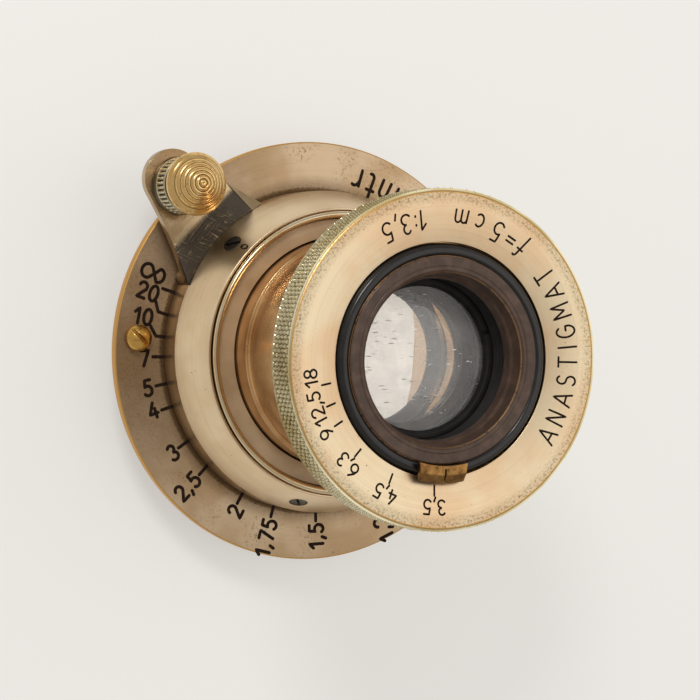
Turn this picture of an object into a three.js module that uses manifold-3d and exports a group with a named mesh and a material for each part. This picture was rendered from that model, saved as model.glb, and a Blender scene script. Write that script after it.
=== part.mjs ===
// Collapsible 5 cm f/3.5 screw-mount camera lens in nickel-plated brass.
// Millimetres. +Z is the optical axis towards the front; z = 0 is the rear rim that the lens stands on.
// Angles are in degrees, counter-clockwise as seen from the front, from +X.

import * as THREE from 'three';
import { mergeVertices } from 'three/addons/utils/BufferGeometryUtils.js';
import Module from 'manifold-3d';

const wasm = await Module();
wasm.setup();

// Driving dimensions ------------------------------------------------------------------------------------

// Roundness: sides of the large turned rings, of the glasses, and of small screws, studs and pins.
const RING_SIDES = 40;
const GLASS_SIDES = 24;
const SMALL_SIDES = 20;
const RING_SCREW_SIDES = 16;
const FINE_SIDES = 12;

// Clearances between pieces.
const FIT = 0.05;
const RUN = 0.15;

// Mount: 39 mm screw, flange and neck.
const SCREW_R = 19.5;
const FLANGE_R = 24.8;
const FLANGE_BACK_Z = 4.6;
const FLANGE_FRONT_Z = 5.8;
const MOUNT_BORE_R = 17;
const NECK_R = 18.2;
const NECK_TOP_Z = 8.8;
const FLANGE_SCREW_R_FROM_AXIS = 22.2;
const FLANGE_SCREW_ANGLE = 176.1;
const FLANGE_SCREW_HEAD_R = 1.55;
const FLANGE_SCREW_SHANK_R = 0.8;
const FLANGE_SCREW_TOP_Z = 7.6;

// Helicoid sleeves: outer (fixed) and inner (turning and travelling).
const OUTER_HELICOID_R = 15.6;
const INNER_HELICOID_R = 15.45;
const INNER_HELICOID_BORE_R = 14.25;
const INNER_HELICOID_TOP_Z = 13.6;
const SLEEVE_LINER_R = INNER_HELICOID_BORE_R - 0.1;

// Focus ring: skirt round the neck, then a cone up to the lip ring.
const SKIRT_BORE_R = 18.4;
const SKIRT_R = 18.9;
const SKIRT_BOTTOM_Z = 6.15;
const CONE_BASE_Z = 9.6;
const CONE_TOP_R = 16.75;
const CONE_TOP_Z = 14.7;
const FOCUS_BORE_R = 15.55;
const LIP_SEAT_R = 16.5;
const LIP_SEAT_Z = 13.9;
const LIP_TOP_Z = 15.3;
const RING_SCREW_ANGLES = [136, 256, 16];
const RING_SCREW_HEIGHT = 11.87;
const RING_SCREW_R = 0.98;
const RING_SCREW_DEPTH = 1.3;

// Lever and infinity lock.
const LEVER_ANGLE = 134;
const LEVER_BOTTOM_Z = 7.9;
const LEVER_TOP_Z = 9;
const LEVER_ROOT_TOP_Z = 9.7;
const LEVER_ROOT_R = 19.1;
const LEVER_SLOPE_END_R = 22.1;
const LEVER_TIP_R_FROM_AXIS = 27.4;
const LEVER_TIP_R = 3.45;
const KNOB_R_FROM_AXIS = 26.35;
const STUD_HOLE_R = 1.7;
const COLLAR_R = 3.3;
const COLLAR_TOP_Z = 12.75;
const COLLAR_BORE_R = 2.75;
const COLLAR_FLOOR_Z = 9.9;
const NUT_R = 2;
const NUT_BOTTOM_Z = 7;
const NUT_TOP_Z = 7.8;
const SPRING_R = 2.2;
const SPRING_WIRE_R = 0.2;
const SPRING_TURNS = 3.5;
const CAP_R = 3.6;
const CAP_BOTTOM_Z = 13.85;
const CAP_TOP_Z = 16.7;
const PLUNGER_R = 1.35;
const LOCK_PIN_R = 0.75;
const LOCK_PIN_BOTTOM_Z = 5.9;
const CATCH_ANGLE = 128.5;
const CATCH_BOTTOM_Z = FLANGE_FRONT_Z + FIT;
const CATCH_TOP_Z = 6.6;
const CATCH_SCREW_R_FROM_AXIS = 23.4;
const CATCH_SCREW_SHANK_R = 0.45;

// Collapsing tube and its guides.
const TUBE_R = 12.9;
const TUBE_BORE_R = 12.1;
const TUBE_COLLAR_R = 13.3;
const TUBE_BOTTOM_Z = 6;
const TUBE_COLLAR_TOP_Z = 17.2;
const TUBE_TOP_Z = 38.5;
const LUG_R = 14;
const LUG_ARC = 20;
const LUG_BOTTOM_Z = 6.2;
const LUG_TOP_Z = 7.4;
const LUG_FIRST_ANGLE = 60;
const GUIDE_BORE_R = 13.5;
const GUIDE_THICKNESS = 0.6;
const FELT_BORE_R = 13.4;
const FELT_BOTTOM_Z = 8.5;
const FELT_TOP_Z = 12;
const STOP_BORE_R = 13.45;
const STOP_BOTTOM_Z = 7.6;
const STOP_TOP_Z = 8.4;

// Head: front ring, aperture ring and tab.
const KNURL_R = 18.2;
const HEAD_BOTTOM_Z = 36;
const FRONT_Z = 40.3;
const FACE_BORE_R = 12.45;
const FACE_INNER_Z = 39.6;
const APERTURE_RING_BOTTOM_Z = 33;
const TAB_INNER_R = 11.1;
const TAB_OUTER_R = 13;
const TAB_BOTTOM_Z = 40.2;
const TAB_TOP_Z = 40.95;
const TAB_ARC = 29.5;
const TAB_TAPER = 3;
const TAB_ANGLE = -92;
const DRIVE_PIN_R_FROM_AXIS = 11.05;
const DRIVE_PIN_R = 0.4;
const DRIVE_PIN_TOP_Z = 34.1;
const DRIVE_PIN_ANGLE = 30;
const APERTURE_TURN = 77;

// Diaphragm: seat, six crescent blades one above another, and the slotted ring that drives them.
const HOUSING_R = 12;
const HOUSING_WALL_R = 11.55;
const IRIS_SEAT_Z = 29.9;
const IRIS_SEAT_BORE_R = 6.4;
const IRIS_WALL_TOP_Z = 32;
const BLADE_COUNT = 6;
const BLADE_PIVOT_R = 9.3;
const BLADE_HALF_WIDTH = 1.9;
const BLADE_SPAN = 141.5;
const BLADE_THICKNESS = 0.12;
const BLADE_FIRST_Z = 30.1;
const BLADE_LEVEL_STEP = 0.18;
const ACTUATOR_BOTTOM_Z = 31.3;
const ACTUATOR_TOP_Z = 31.9;
const ACTUATOR_BORE_R = 7.7;
const ACTUATOR_R = 11.45;
const ACTUATOR_SLOT_R_FROM_AXIS = 8.85;
const COVER_BORE_R = 8.45;
const COVER_THICKNESS = 0.6;

// Cells and glasses: bores and edge radii.
const REAR_CELL_R = 8.5;
const REAR_CELL_BOTTOM_Z = 19.8;
const REAR_CELL_TOP_Z = 26.2;
const FRONT_CELL_R = 10.1;
const FRONT_CELL_TOP_Z = 36.6;
const FRONT_RETAINER_R = 8.65;
const FRONT_GLASS_R = 8.2;
const SECOND_GLASS_R = 7.2;
const DOUBLET_R = 7.6;
const SURFACE_STEPS = 4;

// Helpers -----------------------------------------------------------------------------------------------

const lens = new THREE.Group();
const radians = THREE.MathUtils.degToRad;

const FINISH = {
  nickel: { color: 0xcfc4a4, roughness: 0.38, metalness: 1 },
  wornNickel: { color: 0xa38f6c, roughness: 0.45, metalness: 1 },
  brass: { color: 0xb98d3c, roughness: 0.32, metalness: 1 },
  blackLacquer: { color: 0x120f0e, roughness: 0.3, metalness: 0 },
  brownLacquer: { color: 0x4a3a30, roughness: 0.45, metalness: 0.4 },
  steel: { color: 0x8d8f92, roughness: 0.4, metalness: 1 },
  felt: { color: 0x1d1a18, roughness: 1, metalness: 0 },
  glass: { color: 0xdfe6e6, roughness: 0.03, metalness: 0 },
};

function addPiece(name, geometry, finish) {
  const mesh = new THREE.Mesh(geometry, new THREE.MeshStandardMaterial(FINISH[finish]));
  mesh.name = name;
  lens.add(mesh);
  return mesh;
}

// A solid of revolution about Z from [radius, z] points that close on themselves or run axis to axis.
function turned(points, sides = RING_SIDES) {
  const onAxis = points[0][0] === 0 && points[points.length - 1][0] === 0;
  const outline = points.map(([radius, z]) => new THREE.Vector2(radius, z));
  if (!onAxis) outline.push(outline[0].clone());
  const area = outline.reduce((sum, p, i) => {
    const next = outline[(i + 1) % outline.length];
    return sum + p.x * next.y - next.x * p.y;
  }, 0);
  if (area < 0) outline.reverse();
  return new THREE.LatheGeometry(outline, sides).rotateX(Math.PI / 2);
}

function ring(innerRadius, outerRadius, bottom, top) {
  return turned([[innerRadius, bottom], [outerRadius, bottom], [outerRadius, top], [innerRadius, top]]);
}

function stud(radius, bottom, top, sides = SMALL_SIDES) {
  return new THREE.CylinderGeometry(radius, radius, top - bottom, sides)
    .rotateX(Math.PI / 2)
    .translate(0, 0, (bottom + top) / 2);
}

function block(sizeX, sizeY, bottom, top) {
  return new THREE.BoxGeometry(sizeX, sizeY, top - bottom).translate(0, 0, (bottom + top) / 2);
}

// Moves a geometry out along +X, then round to its angle.
function placed(geometry, radius, angle) {
  return geometry.translate(radius, 0, 0).rotateZ(radians(angle));
}

function toSolid(geometry) {
  const bare = geometry.clone();
  bare.deleteAttribute('normal');
  bare.deleteAttribute('uv');
  const merged = mergeVertices(bare, 1e-4);
  return new wasm.Manifold(new wasm.Mesh({
    numProp: 3,
    vertProperties: Float32Array.from(merged.attributes.position.array),
    triVerts: Uint32Array.from(merged.index.array),
  }));
}

function toGeometry(solid) {
  const mesh = solid.getMesh();
  const geometry = new THREE.BufferGeometry();
  geometry.setAttribute('position', new THREE.BufferAttribute(Float32Array.from(mesh.vertProperties), 3));
  geometry.setIndex(new THREE.BufferAttribute(Uint32Array.from(mesh.triVerts), 1));
  geometry.computeVertexNormals();
  return geometry;
}

function cut(geometry, ...tools) {
  return toGeometry(tools.reduce((solid, tool) => solid.subtract(toSolid(tool)), toSolid(geometry)));
}

function common(first, second) {
  return toGeometry(toSolid(first).intersect(toSolid(second)));
}

function extruded(shape, bottom, top, curveSegments) {
  const options = { depth: top - bottom, bevelEnabled: false, curveSegments };
  return new THREE.ExtrudeGeometry(shape, options).translate(0, 0, bottom);
}

// A flat sector of a ring between two angles.
function sector(innerRadius, outerRadius, from, to) {
  const shape = new THREE.Shape();
  shape.absarc(0, 0, outerRadius, radians(from), radians(to), false);
  shape.absarc(0, 0, innerRadius, radians(to), radians(from), true);
  return shape;
}

// Mount -------------------------------------------------------------------------------------------------

// The run-out groove behind the screw goes into the flange too, so only the flat seat meets a camera.
function mountFlange() {
  const seatInnerR = SCREW_R + 0.2;
  const body = turned([
    [MOUNT_BORE_R, 0.3], [MOUNT_BORE_R + 0.3, 0], [SCREW_R - 0.4, 0], [SCREW_R, 0.4],
    [SCREW_R, FLANGE_BACK_Z - 0.6], [SCREW_R - 0.5, FLANGE_BACK_Z - 0.5],
    [SCREW_R - 0.5, FLANGE_BACK_Z + 0.25], [seatInnerR, FLANGE_BACK_Z + 0.25], [seatInnerR, FLANGE_BACK_Z],
    [FLANGE_R, FLANGE_BACK_Z],
    [FLANGE_R, FLANGE_FRONT_Z - 0.15], [FLANGE_R - 0.15, FLANGE_FRONT_Z],
    [NECK_R, FLANGE_FRONT_Z], [NECK_R, NECK_TOP_Z], [MOUNT_BORE_R, NECK_TOP_Z],
  ]);
  const screwHole = stud(FLANGE_SCREW_SHANK_R + RUN, FLANGE_BACK_Z - 1, FLANGE_FRONT_Z + 1);
  const catchHole = stud(CATCH_SCREW_SHANK_R + RUN, FLANGE_BACK_Z + 0.3, FLANGE_FRONT_Z + 1, FINE_SIDES);
  return cut(
    body,
    placed(screwHole, FLANGE_SCREW_R_FROM_AXIS, FLANGE_SCREW_ANGLE),
    placed(catchHole, CATCH_SCREW_R_FROM_AXIS, CATCH_ANGLE),
  );
}

function flangeScrew() {
  const headBottom = FLANGE_FRONT_Z + FIT;
  const body = turned([
    [0, FLANGE_BACK_Z + 0.1], [FLANGE_SCREW_SHANK_R, FLANGE_BACK_Z + 0.1], [FLANGE_SCREW_SHANK_R, headBottom],
    [FLANGE_SCREW_HEAD_R, headBottom], [FLANGE_SCREW_HEAD_R, headBottom + 0.9], [1.25, headBottom + 1.4],
    [0.7, FLANGE_SCREW_TOP_Z - 0.05], [0, FLANGE_SCREW_TOP_Z],
  ], SMALL_SIDES);
  const slot = block(4, 0.4, FLANGE_SCREW_TOP_Z - 0.7, FLANGE_SCREW_TOP_Z + 1).rotateZ(radians(139));
  return placed(cut(body, slot), FLANGE_SCREW_R_FROM_AXIS, FLANGE_SCREW_ANGLE);
}

// A plate on the flange that reaches past its rim, beside the lock's pin.
function infinityCatch() {
  const plate = block(4.4, 2.2, CATCH_BOTTOM_Z, CATCH_TOP_Z).translate(24.6, 0, 0);
  const hole = stud(CATCH_SCREW_SHANK_R + RUN, CATCH_BOTTOM_Z - 1, CATCH_TOP_Z + 1, FINE_SIDES);
  return cut(plate, hole.translate(CATCH_SCREW_R_FROM_AXIS, 0, 0)).rotateZ(radians(CATCH_ANGLE));
}

function catchScrew() {
  const headBottom = CATCH_TOP_Z + FIT;
  const body = turned([
    [0, FLANGE_BACK_Z + 0.4], [CATCH_SCREW_SHANK_R, FLANGE_BACK_Z + 0.4], [CATCH_SCREW_SHANK_R, headBottom],
    [0.9, headBottom], [0.9, headBottom + 0.5], [0.6, headBottom + 0.75], [0, headBottom + 0.75],
  ], FINE_SIDES);
  const slot = block(3, 0.25, headBottom + 0.4, headBottom + 2);
  return placed(cut(body, slot), CATCH_SCREW_R_FROM_AXIS, CATCH_ANGLE);
}

addPiece('mount_flange', mountFlange(), 'wornNickel');
addPiece('flange_screw', flangeScrew(), 'brass');
addPiece('infinity_catch', infinityCatch(), 'brass');
addPiece('catch_screw', catchScrew(), 'steel');
addPiece('outer_helicoid', ring(OUTER_HELICOID_R, MOUNT_BORE_R - FIT, 0.6, NECK_TOP_Z), 'brass');

// Focusing mount ----------------------------------------------------------------------------------------

// Places a geometry made round +Z so that +Z becomes the cone's outward normal at the screws' height.
function onCone(geometry, angle) {
  const run = SKIRT_R - CONE_TOP_R;
  const rise = CONE_TOP_Z - CONE_BASE_Z;
  const radius = CONE_TOP_R + run * (CONE_TOP_Z - RING_SCREW_HEIGHT) / rise;
  const tilted = geometry.rotateY(Math.atan2(rise, run));
  return tilted.translate(radius, 0, RING_SCREW_HEIGHT).rotateZ(radians(angle));
}

function focusRing() {
  const ceiling = NECK_TOP_Z + 0.3;
  const body = turned([
    [SKIRT_BORE_R, SKIRT_BOTTOM_Z], [SKIRT_R, SKIRT_BOTTOM_Z], [SKIRT_R, CONE_BASE_Z],
    [CONE_TOP_R, CONE_TOP_Z], [LIP_SEAT_R, CONE_TOP_Z], [LIP_SEAT_R, LIP_SEAT_Z], [FOCUS_BORE_R, LIP_SEAT_Z],
    [FOCUS_BORE_R, ceiling], [SKIRT_BORE_R, ceiling],
  ]);
  const holeBottom = -RING_SCREW_DEPTH - RUN;
  const hole = (angle) => onCone(stud(RING_SCREW_R + RUN, holeBottom, 1, RING_SCREW_SIDES), angle);
  return cut(body, ...RING_SCREW_ANGLES.map(hole));
}

function ringScrew(angle) {
  const slot = block(3, 0.28, -0.45, 1);
  return onCone(cut(stud(RING_SCREW_R, -RING_SCREW_DEPTH, -FIT, RING_SCREW_SIDES), slot), angle);
}

function lipRing() {
  const outer = LIP_SEAT_R - FIT;
  const inner = FOCUS_BORE_R + FIT;
  const middle = (inner + outer) / 2;
  return turned([
    [inner, LIP_SEAT_Z + FIT], [outer, LIP_SEAT_Z + FIT], [outer, LIP_TOP_Z - 0.35],
    [outer - 0.15, LIP_TOP_Z - 0.1], [middle, LIP_TOP_Z], [inner + 0.2, LIP_TOP_Z - 0.1],
    [inner, LIP_TOP_Z - 0.4],
  ]);
}

function guideRing() {
  const bottom = INNER_HELICOID_TOP_Z + 0.1;
  return ring(GUIDE_BORE_R, FOCUS_BORE_R - FIT, bottom, bottom + GUIDE_THICKNESS);
}

addPiece('focus_ring', focusRing(), 'nickel');
RING_SCREW_ANGLES.forEach((angle, i) => addPiece(`ring_screw_${i + 1}`, ringScrew(angle), 'steel'));
addPiece('lip_ring', lipRing(), 'nickel');
addPiece('guide_ring', guideRing(), 'nickel');
addPiece('felt_band', ring(FELT_BORE_R, SLEEVE_LINER_R, FELT_BOTTOM_Z, FELT_TOP_Z), 'felt');
addPiece('bayonet_ring', ring(STOP_BORE_R, SLEEVE_LINER_R, STOP_BOTTOM_Z, STOP_TOP_Z), 'brass');
addPiece('inner_helicoid', ring(INNER_HELICOID_BORE_R, INNER_HELICOID_R, 1.2, INNER_HELICOID_TOP_Z), 'brass');

// Lever and infinity lock -------------------------------------------------------------------------------

// Outline in the lever's own directions: x runs out through the knob, y round the lens.
function leverOutline() {
  const leftRoot = radians(22.2);
  const rightRoot = radians(-19.4);
  const tipEnd = radians(77);
  const tipX = LEVER_TIP_R_FROM_AXIS + LEVER_TIP_R * Math.cos(tipEnd);
  const tipY = LEVER_TIP_R * Math.sin(tipEnd);
  const shape = new THREE.Shape();
  shape.absarc(0, 0, LEVER_ROOT_R, leftRoot, rightRoot, true);
  shape.quadraticCurveTo(21.9, -4.6, tipX, -tipY);
  shape.absarc(LEVER_TIP_R_FROM_AXIS, 0, LEVER_TIP_R, -tipEnd, tipEnd, false);
  shape.quadraticCurveTo(21.9, 4.8, LEVER_ROOT_R * Math.cos(leftRoot), LEVER_ROOT_R * Math.sin(leftRoot));
  return shape;
}

function leverArm() {
  const slab = extruded(leverOutline(), SKIRT_BOTTOM_Z + 0.25, LEVER_ROOT_TOP_Z, 6);
  const inside = LEVER_ROOT_R - 1;
  const outside = LEVER_TIP_R_FROM_AXIS + LEVER_TIP_R + 1;
  const section = turned([
    [inside, SKIRT_BOTTOM_Z], [LEVER_ROOT_R + 0.6, SKIRT_BOTTOM_Z], [LEVER_ROOT_R + 0.6, LEVER_BOTTOM_Z],
    [outside, LEVER_BOTTOM_Z], [outside, LEVER_TOP_Z], [LEVER_SLOPE_END_R, LEVER_TOP_Z],
    [LEVER_ROOT_R + 0.5, LEVER_ROOT_TOP_Z], [inside, LEVER_ROOT_TOP_Z],
  ]);
  const hole = stud(STUD_HOLE_R, LEVER_BOTTOM_Z - 1, LEVER_TOP_Z + 1).translate(KNOB_R_FROM_AXIS, 0, 0);
  return cut(common(slab, section), hole).rotateZ(radians(LEVER_ANGLE));
}

function knobCollar() {
  return turned([
    [STUD_HOLE_R, LEVER_TOP_Z + FIT], [COLLAR_R, LEVER_TOP_Z + FIT], [COLLAR_R, COLLAR_TOP_Z - 0.2],
    [COLLAR_R - 0.2, COLLAR_TOP_Z], [COLLAR_BORE_R, COLLAR_TOP_Z], [COLLAR_BORE_R, COLLAR_FLOOR_Z],
    [STUD_HOLE_R, COLLAR_FLOOR_Z],
  ], SMALL_SIDES);
}

function collarNut() {
  const hexagon = stud(NUT_R, NUT_BOTTOM_Z, NUT_TOP_Z, 6);
  return cut(hexagon, stud(STUD_HOLE_R - 0.1, NUT_BOTTOM_Z - 1, NUT_TOP_Z + 1, 16));
}

class SpringCurve extends THREE.Curve {
  constructor(radius, bottom, top, turns) {
    super();
    Object.assign(this, { radius, bottom, top, turns });
  }

  getPoint(t, target = new THREE.Vector3()) {
    const angle = 2 * Math.PI * this.turns * t;
    const z = this.bottom + (this.top - this.bottom) * t;
    return target.set(this.radius * Math.cos(angle), this.radius * Math.sin(angle), z);
  }
}

function lockSpring() {
  const wire = new THREE.Shape();
  wire.absarc(0, 0, SPRING_WIRE_R, 0, 2 * Math.PI, false);
  const bottom = COLLAR_FLOOR_Z + SPRING_WIRE_R + 0.1;
  const top = CAP_BOTTOM_Z - SPRING_WIRE_R - 0.1;
  const extrudePath = new SpringCurve(SPRING_R, bottom, top, SPRING_TURNS);
  return new THREE.ExtrudeGeometry(wire, { steps: 42, curveSegments: 3, bevelEnabled: false, extrudePath });
}

// Mushroom cap with a blind hole for the plunger's head.
function buttonCap() {
  const holeR = PLUNGER_R + 0.1;
  const holeTop = CAP_BOTTOM_Z + 1.1;
  return turned([
    [0, holeTop], [holeR, holeTop], [holeR, CAP_BOTTOM_Z], [CAP_R - 0.3, CAP_BOTTOM_Z],
    [CAP_R, CAP_BOTTOM_Z + 0.3], [CAP_R, CAP_BOTTOM_Z + 0.65], [3.3, CAP_TOP_Z - 1.6],
    [2.4, CAP_TOP_Z - 0.85], [1.3, CAP_TOP_Z - 0.3], [0, CAP_TOP_Z],
  ], SMALL_SIDES);
}

function plunger() {
  const shoulder = NUT_BOTTOM_Z - 0.1;
  const top = CAP_BOTTOM_Z + 1;
  return turned([
    [0, LOCK_PIN_BOTTOM_Z], [LOCK_PIN_R, LOCK_PIN_BOTTOM_Z], [LOCK_PIN_R, shoulder], [PLUNGER_R, shoulder],
    [PLUNGER_R, top], [0, top],
  ], 16);
}

function onKnob(geometry) {
  return placed(geometry, KNOB_R_FROM_AXIS, LEVER_ANGLE);
}

addPiece('lever_arm', leverArm(), 'nickel');
addPiece('knob_collar', onKnob(knobCollar()), 'nickel');
addPiece('collar_nut', onKnob(collarNut()), 'steel');
addPiece('lock_spring', onKnob(lockSpring()), 'steel');
addPiece('button_cap', onKnob(buttonCap()), 'brass');
addPiece('plunger', onKnob(plunger()), 'steel');

// Collapsing tube ---------------------------------------------------------------------------------------

function barrelTube() {
  return turned([
    [TUBE_BORE_R, TUBE_BOTTOM_Z], [TUBE_COLLAR_R, TUBE_BOTTOM_Z], [TUBE_COLLAR_R, TUBE_COLLAR_TOP_Z],
    [TUBE_R, TUBE_COLLAR_TOP_Z + 0.2], [TUBE_R, TUBE_TOP_Z], [TUBE_BORE_R, TUBE_TOP_Z],
  ]);
}

function bayonetLug(angle) {
  const outline = sector(TUBE_COLLAR_R + RUN, LUG_R, angle - LUG_ARC / 2, angle + LUG_ARC / 2);
  return extruded(outline, LUG_BOTTOM_Z, LUG_TOP_Z, 4);
}

addPiece('barrel_tube', barrelTube(), 'wornNickel');
[1, 2, 3].forEach((n) => addPiece(`bayonet_lug_${n}`, bayonetLug(LUG_FIRST_ANGLE + 120 * (n - 1)), 'brass'));

// Head --------------------------------------------------------------------------------------------------

function headRing() {
  const tubeSeatR = TUBE_R + 0.1;
  const tubeSeatZ = TUBE_TOP_Z + 0.1;
  return turned([
    [tubeSeatR, HEAD_BOTTOM_Z], [KNURL_R - 0.4, HEAD_BOTTOM_Z], [KNURL_R, HEAD_BOTTOM_Z + 0.4],
    [KNURL_R, FRONT_Z - 0.6], [17.7, FRONT_Z - 0.1], [17.4, FRONT_Z], [16.4, FRONT_Z],
    [FACE_BORE_R, FACE_INNER_Z], [FACE_BORE_R, tubeSeatZ], [tubeSeatR, tubeSeatZ],
  ]);
}

// Skirt inside the tube, a convex outer band, and an inner face that slopes in to the front cell.
function apertureRing() {
  const skirtBoreR = FRONT_CELL_R + RUN;
  const cellTop = FRONT_CELL_TOP_Z + RUN;
  const body = turned([
    [skirtBoreR, APERTURE_RING_BOTTOM_Z], [11.9, APERTURE_RING_BOTTOM_Z], [11.9, TUBE_TOP_Z + 0.1],
    [12.3, TUBE_TOP_Z + 0.1], [12.3, 39.3], [12.1, 39.7], [11.6, 39.95], [10.95, 39.85], [10.9, 40.1],
    [9.6, 40.1], [9.25, 39.8], [8.85, cellTop], [skirtBoreR, cellTop],
  ]);
  const pinHole = stud(DRIVE_PIN_R + 0.1, APERTURE_RING_BOTTOM_Z - 1, DRIVE_PIN_TOP_Z + 0.1, FINE_SIDES);
  return cut(body, placed(pinHole, DRIVE_PIN_R_FROM_AXIS, DRIVE_PIN_ANGLE));
}

// Tapers outwards in plan, with a flat inner facet and a sloped outer one.
function apertureTab() {
  const innerHalf = radians(TAB_ARC / 2);
  const outerHalf = radians(TAB_ARC / 2 - TAB_TAPER);
  const outline = new THREE.Shape();
  outline.absarc(0, 0, TAB_INNER_R, -innerHalf, innerHalf, false);
  outline.absarc(0, 0, TAB_OUTER_R, outerHalf, -outerHalf, true);
  const section = turned([
    [TAB_INNER_R - 1, TAB_BOTTOM_Z], [TAB_OUTER_R + 1, TAB_BOTTOM_Z], [TAB_OUTER_R + 1, TAB_BOTTOM_Z + 0.1],
    [TAB_OUTER_R, TAB_BOTTOM_Z + 0.25], [(TAB_INNER_R + TAB_OUTER_R) / 2, TAB_TOP_Z],
    [TAB_INNER_R - 1, TAB_TOP_Z],
  ]);
  return common(extruded(outline, TAB_BOTTOM_Z - 1, TAB_TOP_Z + 1, 6), section).rotateZ(radians(TAB_ANGLE));
}

addPiece('head_ring', headRing(), 'nickel');
addPiece('aperture_ring', apertureRing(), 'blackLacquer');
addPiece('aperture_tab', apertureTab(), 'brass');

// Diaphragm ---------------------------------------------------------------------------------------------

// Sleeve round the rear cell, seat for the second glass, and the cup that the blades lie in.
function lensHousing() {
  const cellBoreR = REAR_CELL_R + 0.1;
  const glassBoreR = SECOND_GLASS_R + FIT;
  const glassShoulderZ = IRIS_SEAT_Z - 0.5;
  return turned([
    [cellBoreR, 19.5], [cellBoreR + 0.8, 19.5], [cellBoreR + 0.8, 25.8], [10.6, 27], [HOUSING_R, 27],
    [HOUSING_R, IRIS_WALL_TOP_Z], [HOUSING_WALL_R, IRIS_WALL_TOP_Z], [HOUSING_WALL_R, IRIS_SEAT_Z],
    [IRIS_SEAT_BORE_R, IRIS_SEAT_Z], [IRIS_SEAT_BORE_R, glassShoulderZ], [glassBoreR, glassShoulderZ],
    [glassBoreR, 26.85], [cellBoreR, 26.85],
  ]);
}

// Cover plate over the blades, with an arc slot that lets the drive pin turn.
function irisCover() {
  const bottom = IRIS_WALL_TOP_Z + FIT;
  const plate = ring(COVER_BORE_R, HOUSING_R, bottom, bottom + COVER_THICKNESS);
  const margin = 6;
  const path = sector(
    DRIVE_PIN_R_FROM_AXIS - 0.6,
    DRIVE_PIN_R_FROM_AXIS + 0.6,
    DRIVE_PIN_ANGLE - APERTURE_TURN - margin,
    DRIVE_PIN_ANGLE + margin,
  );
  return cut(plate, extruded(path, bottom - 1, bottom + COVER_THICKNESS + 1, 10));
}

function irisActuator() {
  const below = ACTUATOR_BOTTOM_Z - 1;
  const above = ACTUATOR_TOP_Z + 1;
  const slot = (i) => placed(
    block(1.6, 0.6, below, above),
    ACTUATOR_SLOT_R_FROM_AXIS,
    i * 360 / BLADE_COUNT - BLADE_SPAN,
  );
  const slots = Array.from({ length: BLADE_COUNT }, (_, i) => slot(i));
  return cut(ring(ACTUATOR_BORE_R, ACTUATOR_R, ACTUATOR_BOTTOM_Z, ACTUATOR_TOP_Z), ...slots);
}

// A crescent from its pivot end clockwise by the blade's span, with round ends. The span puts the far end
// on the pivot circle both when the iris is open and when it is closed, so it keeps inside its short slot.
function irisBlade(index) {
  const shape = new THREE.Shape();
  const end = -radians(BLADE_SPAN);
  const endX = BLADE_PIVOT_R * Math.cos(end);
  const endY = BLADE_PIVOT_R * Math.sin(end);
  shape.absarc(0, 0, BLADE_PIVOT_R + BLADE_HALF_WIDTH, 0, end, true);
  shape.absarc(endX, endY, BLADE_HALF_WIDTH, end, end - Math.PI, true);
  shape.absarc(0, 0, BLADE_PIVOT_R - BLADE_HALF_WIDTH, end, 0, false);
  shape.absarc(BLADE_PIVOT_R, 0, BLADE_HALF_WIDTH, Math.PI, 0, true);
  const bottom = BLADE_FIRST_Z + BLADE_LEVEL_STEP * index;
  return extruded(shape, bottom, bottom + BLADE_THICKNESS, 8).rotateZ(radians(index * 360 / BLADE_COUNT));
}

function drivePin() {
  const pin = stud(DRIVE_PIN_R, ACTUATOR_TOP_Z + FIT, DRIVE_PIN_TOP_Z, FINE_SIDES);
  return placed(pin, DRIVE_PIN_R_FROM_AXIS, DRIVE_PIN_ANGLE);
}

addPiece('lens_housing', lensHousing(), 'brownLacquer');
addPiece('iris_cover', irisCover(), 'blackLacquer');
addPiece('iris_actuator', irisActuator(), 'steel');
addPiece('drive_pin', drivePin(), 'steel');
for (let i = 0; i < BLADE_COUNT; i += 1) addPiece(`iris_blade_${i + 1}`, irisBlade(i), 'steel');

// Cells and glasses -------------------------------------------------------------------------------------

// A sleeve that drops into the cover plate, a seat for the front glass and a bore above its retaining ring.
function frontCell() {
  const glassBoreR = FRONT_GLASS_R + FIT;
  const sleeveR = COVER_BORE_R - 0.1;
  const ringBoreR = FRONT_RETAINER_R + FIT;
  return turned([
    [7.8, 32.1], [sleeveR, 32.1], [sleeveR, 32.75], [FRONT_CELL_R, 32.75], [FRONT_CELL_R, FRONT_CELL_TOP_Z],
    [9, FRONT_CELL_TOP_Z], [ringBoreR, 34.7], [ringBoreR, 33.75], [glassBoreR, 33.75], [glassBoreR, 32.85],
    [7.8, 32.85],
  ]);
}

function rearCell() {
  const glassBoreR = DOUBLET_R + FIT;
  const lipZ = REAR_CELL_TOP_Z - 0.3;
  return turned([
    [glassBoreR, REAR_CELL_BOTTOM_Z], [REAR_CELL_R, REAR_CELL_BOTTOM_Z], [REAR_CELL_R, REAR_CELL_TOP_Z],
    [glassBoreR - 0.55, REAR_CELL_TOP_Z], [glassBoreR - 0.55, lipZ], [glassBoreR, lipZ],
  ]);
}

function elementSpacer() {
  const bottom = REAR_CELL_TOP_Z + 0.1;
  return ring(6.8, REAR_CELL_R, bottom, bottom + 0.5);
}

// Points of a spherical surface from the edge to the axis; sag is how far its middle stands above its edge.
function surface(radius, edgeZ, sag) {
  const sphereR = (radius ** 2 + sag ** 2) / (2 * Math.abs(sag));
  const edgeDepth = Math.sqrt(sphereR ** 2 - radius ** 2);
  const points = [];
  for (let i = 0; i <= SURFACE_STEPS; i += 1) {
    const r = radius * (1 - i / SURFACE_STEPS);
    const rise = Math.sqrt(sphereR ** 2 - r ** 2) - edgeDepth;
    points.push([r, edgeZ + Math.sign(sag) * rise]);
  }
  return points;
}

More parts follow.
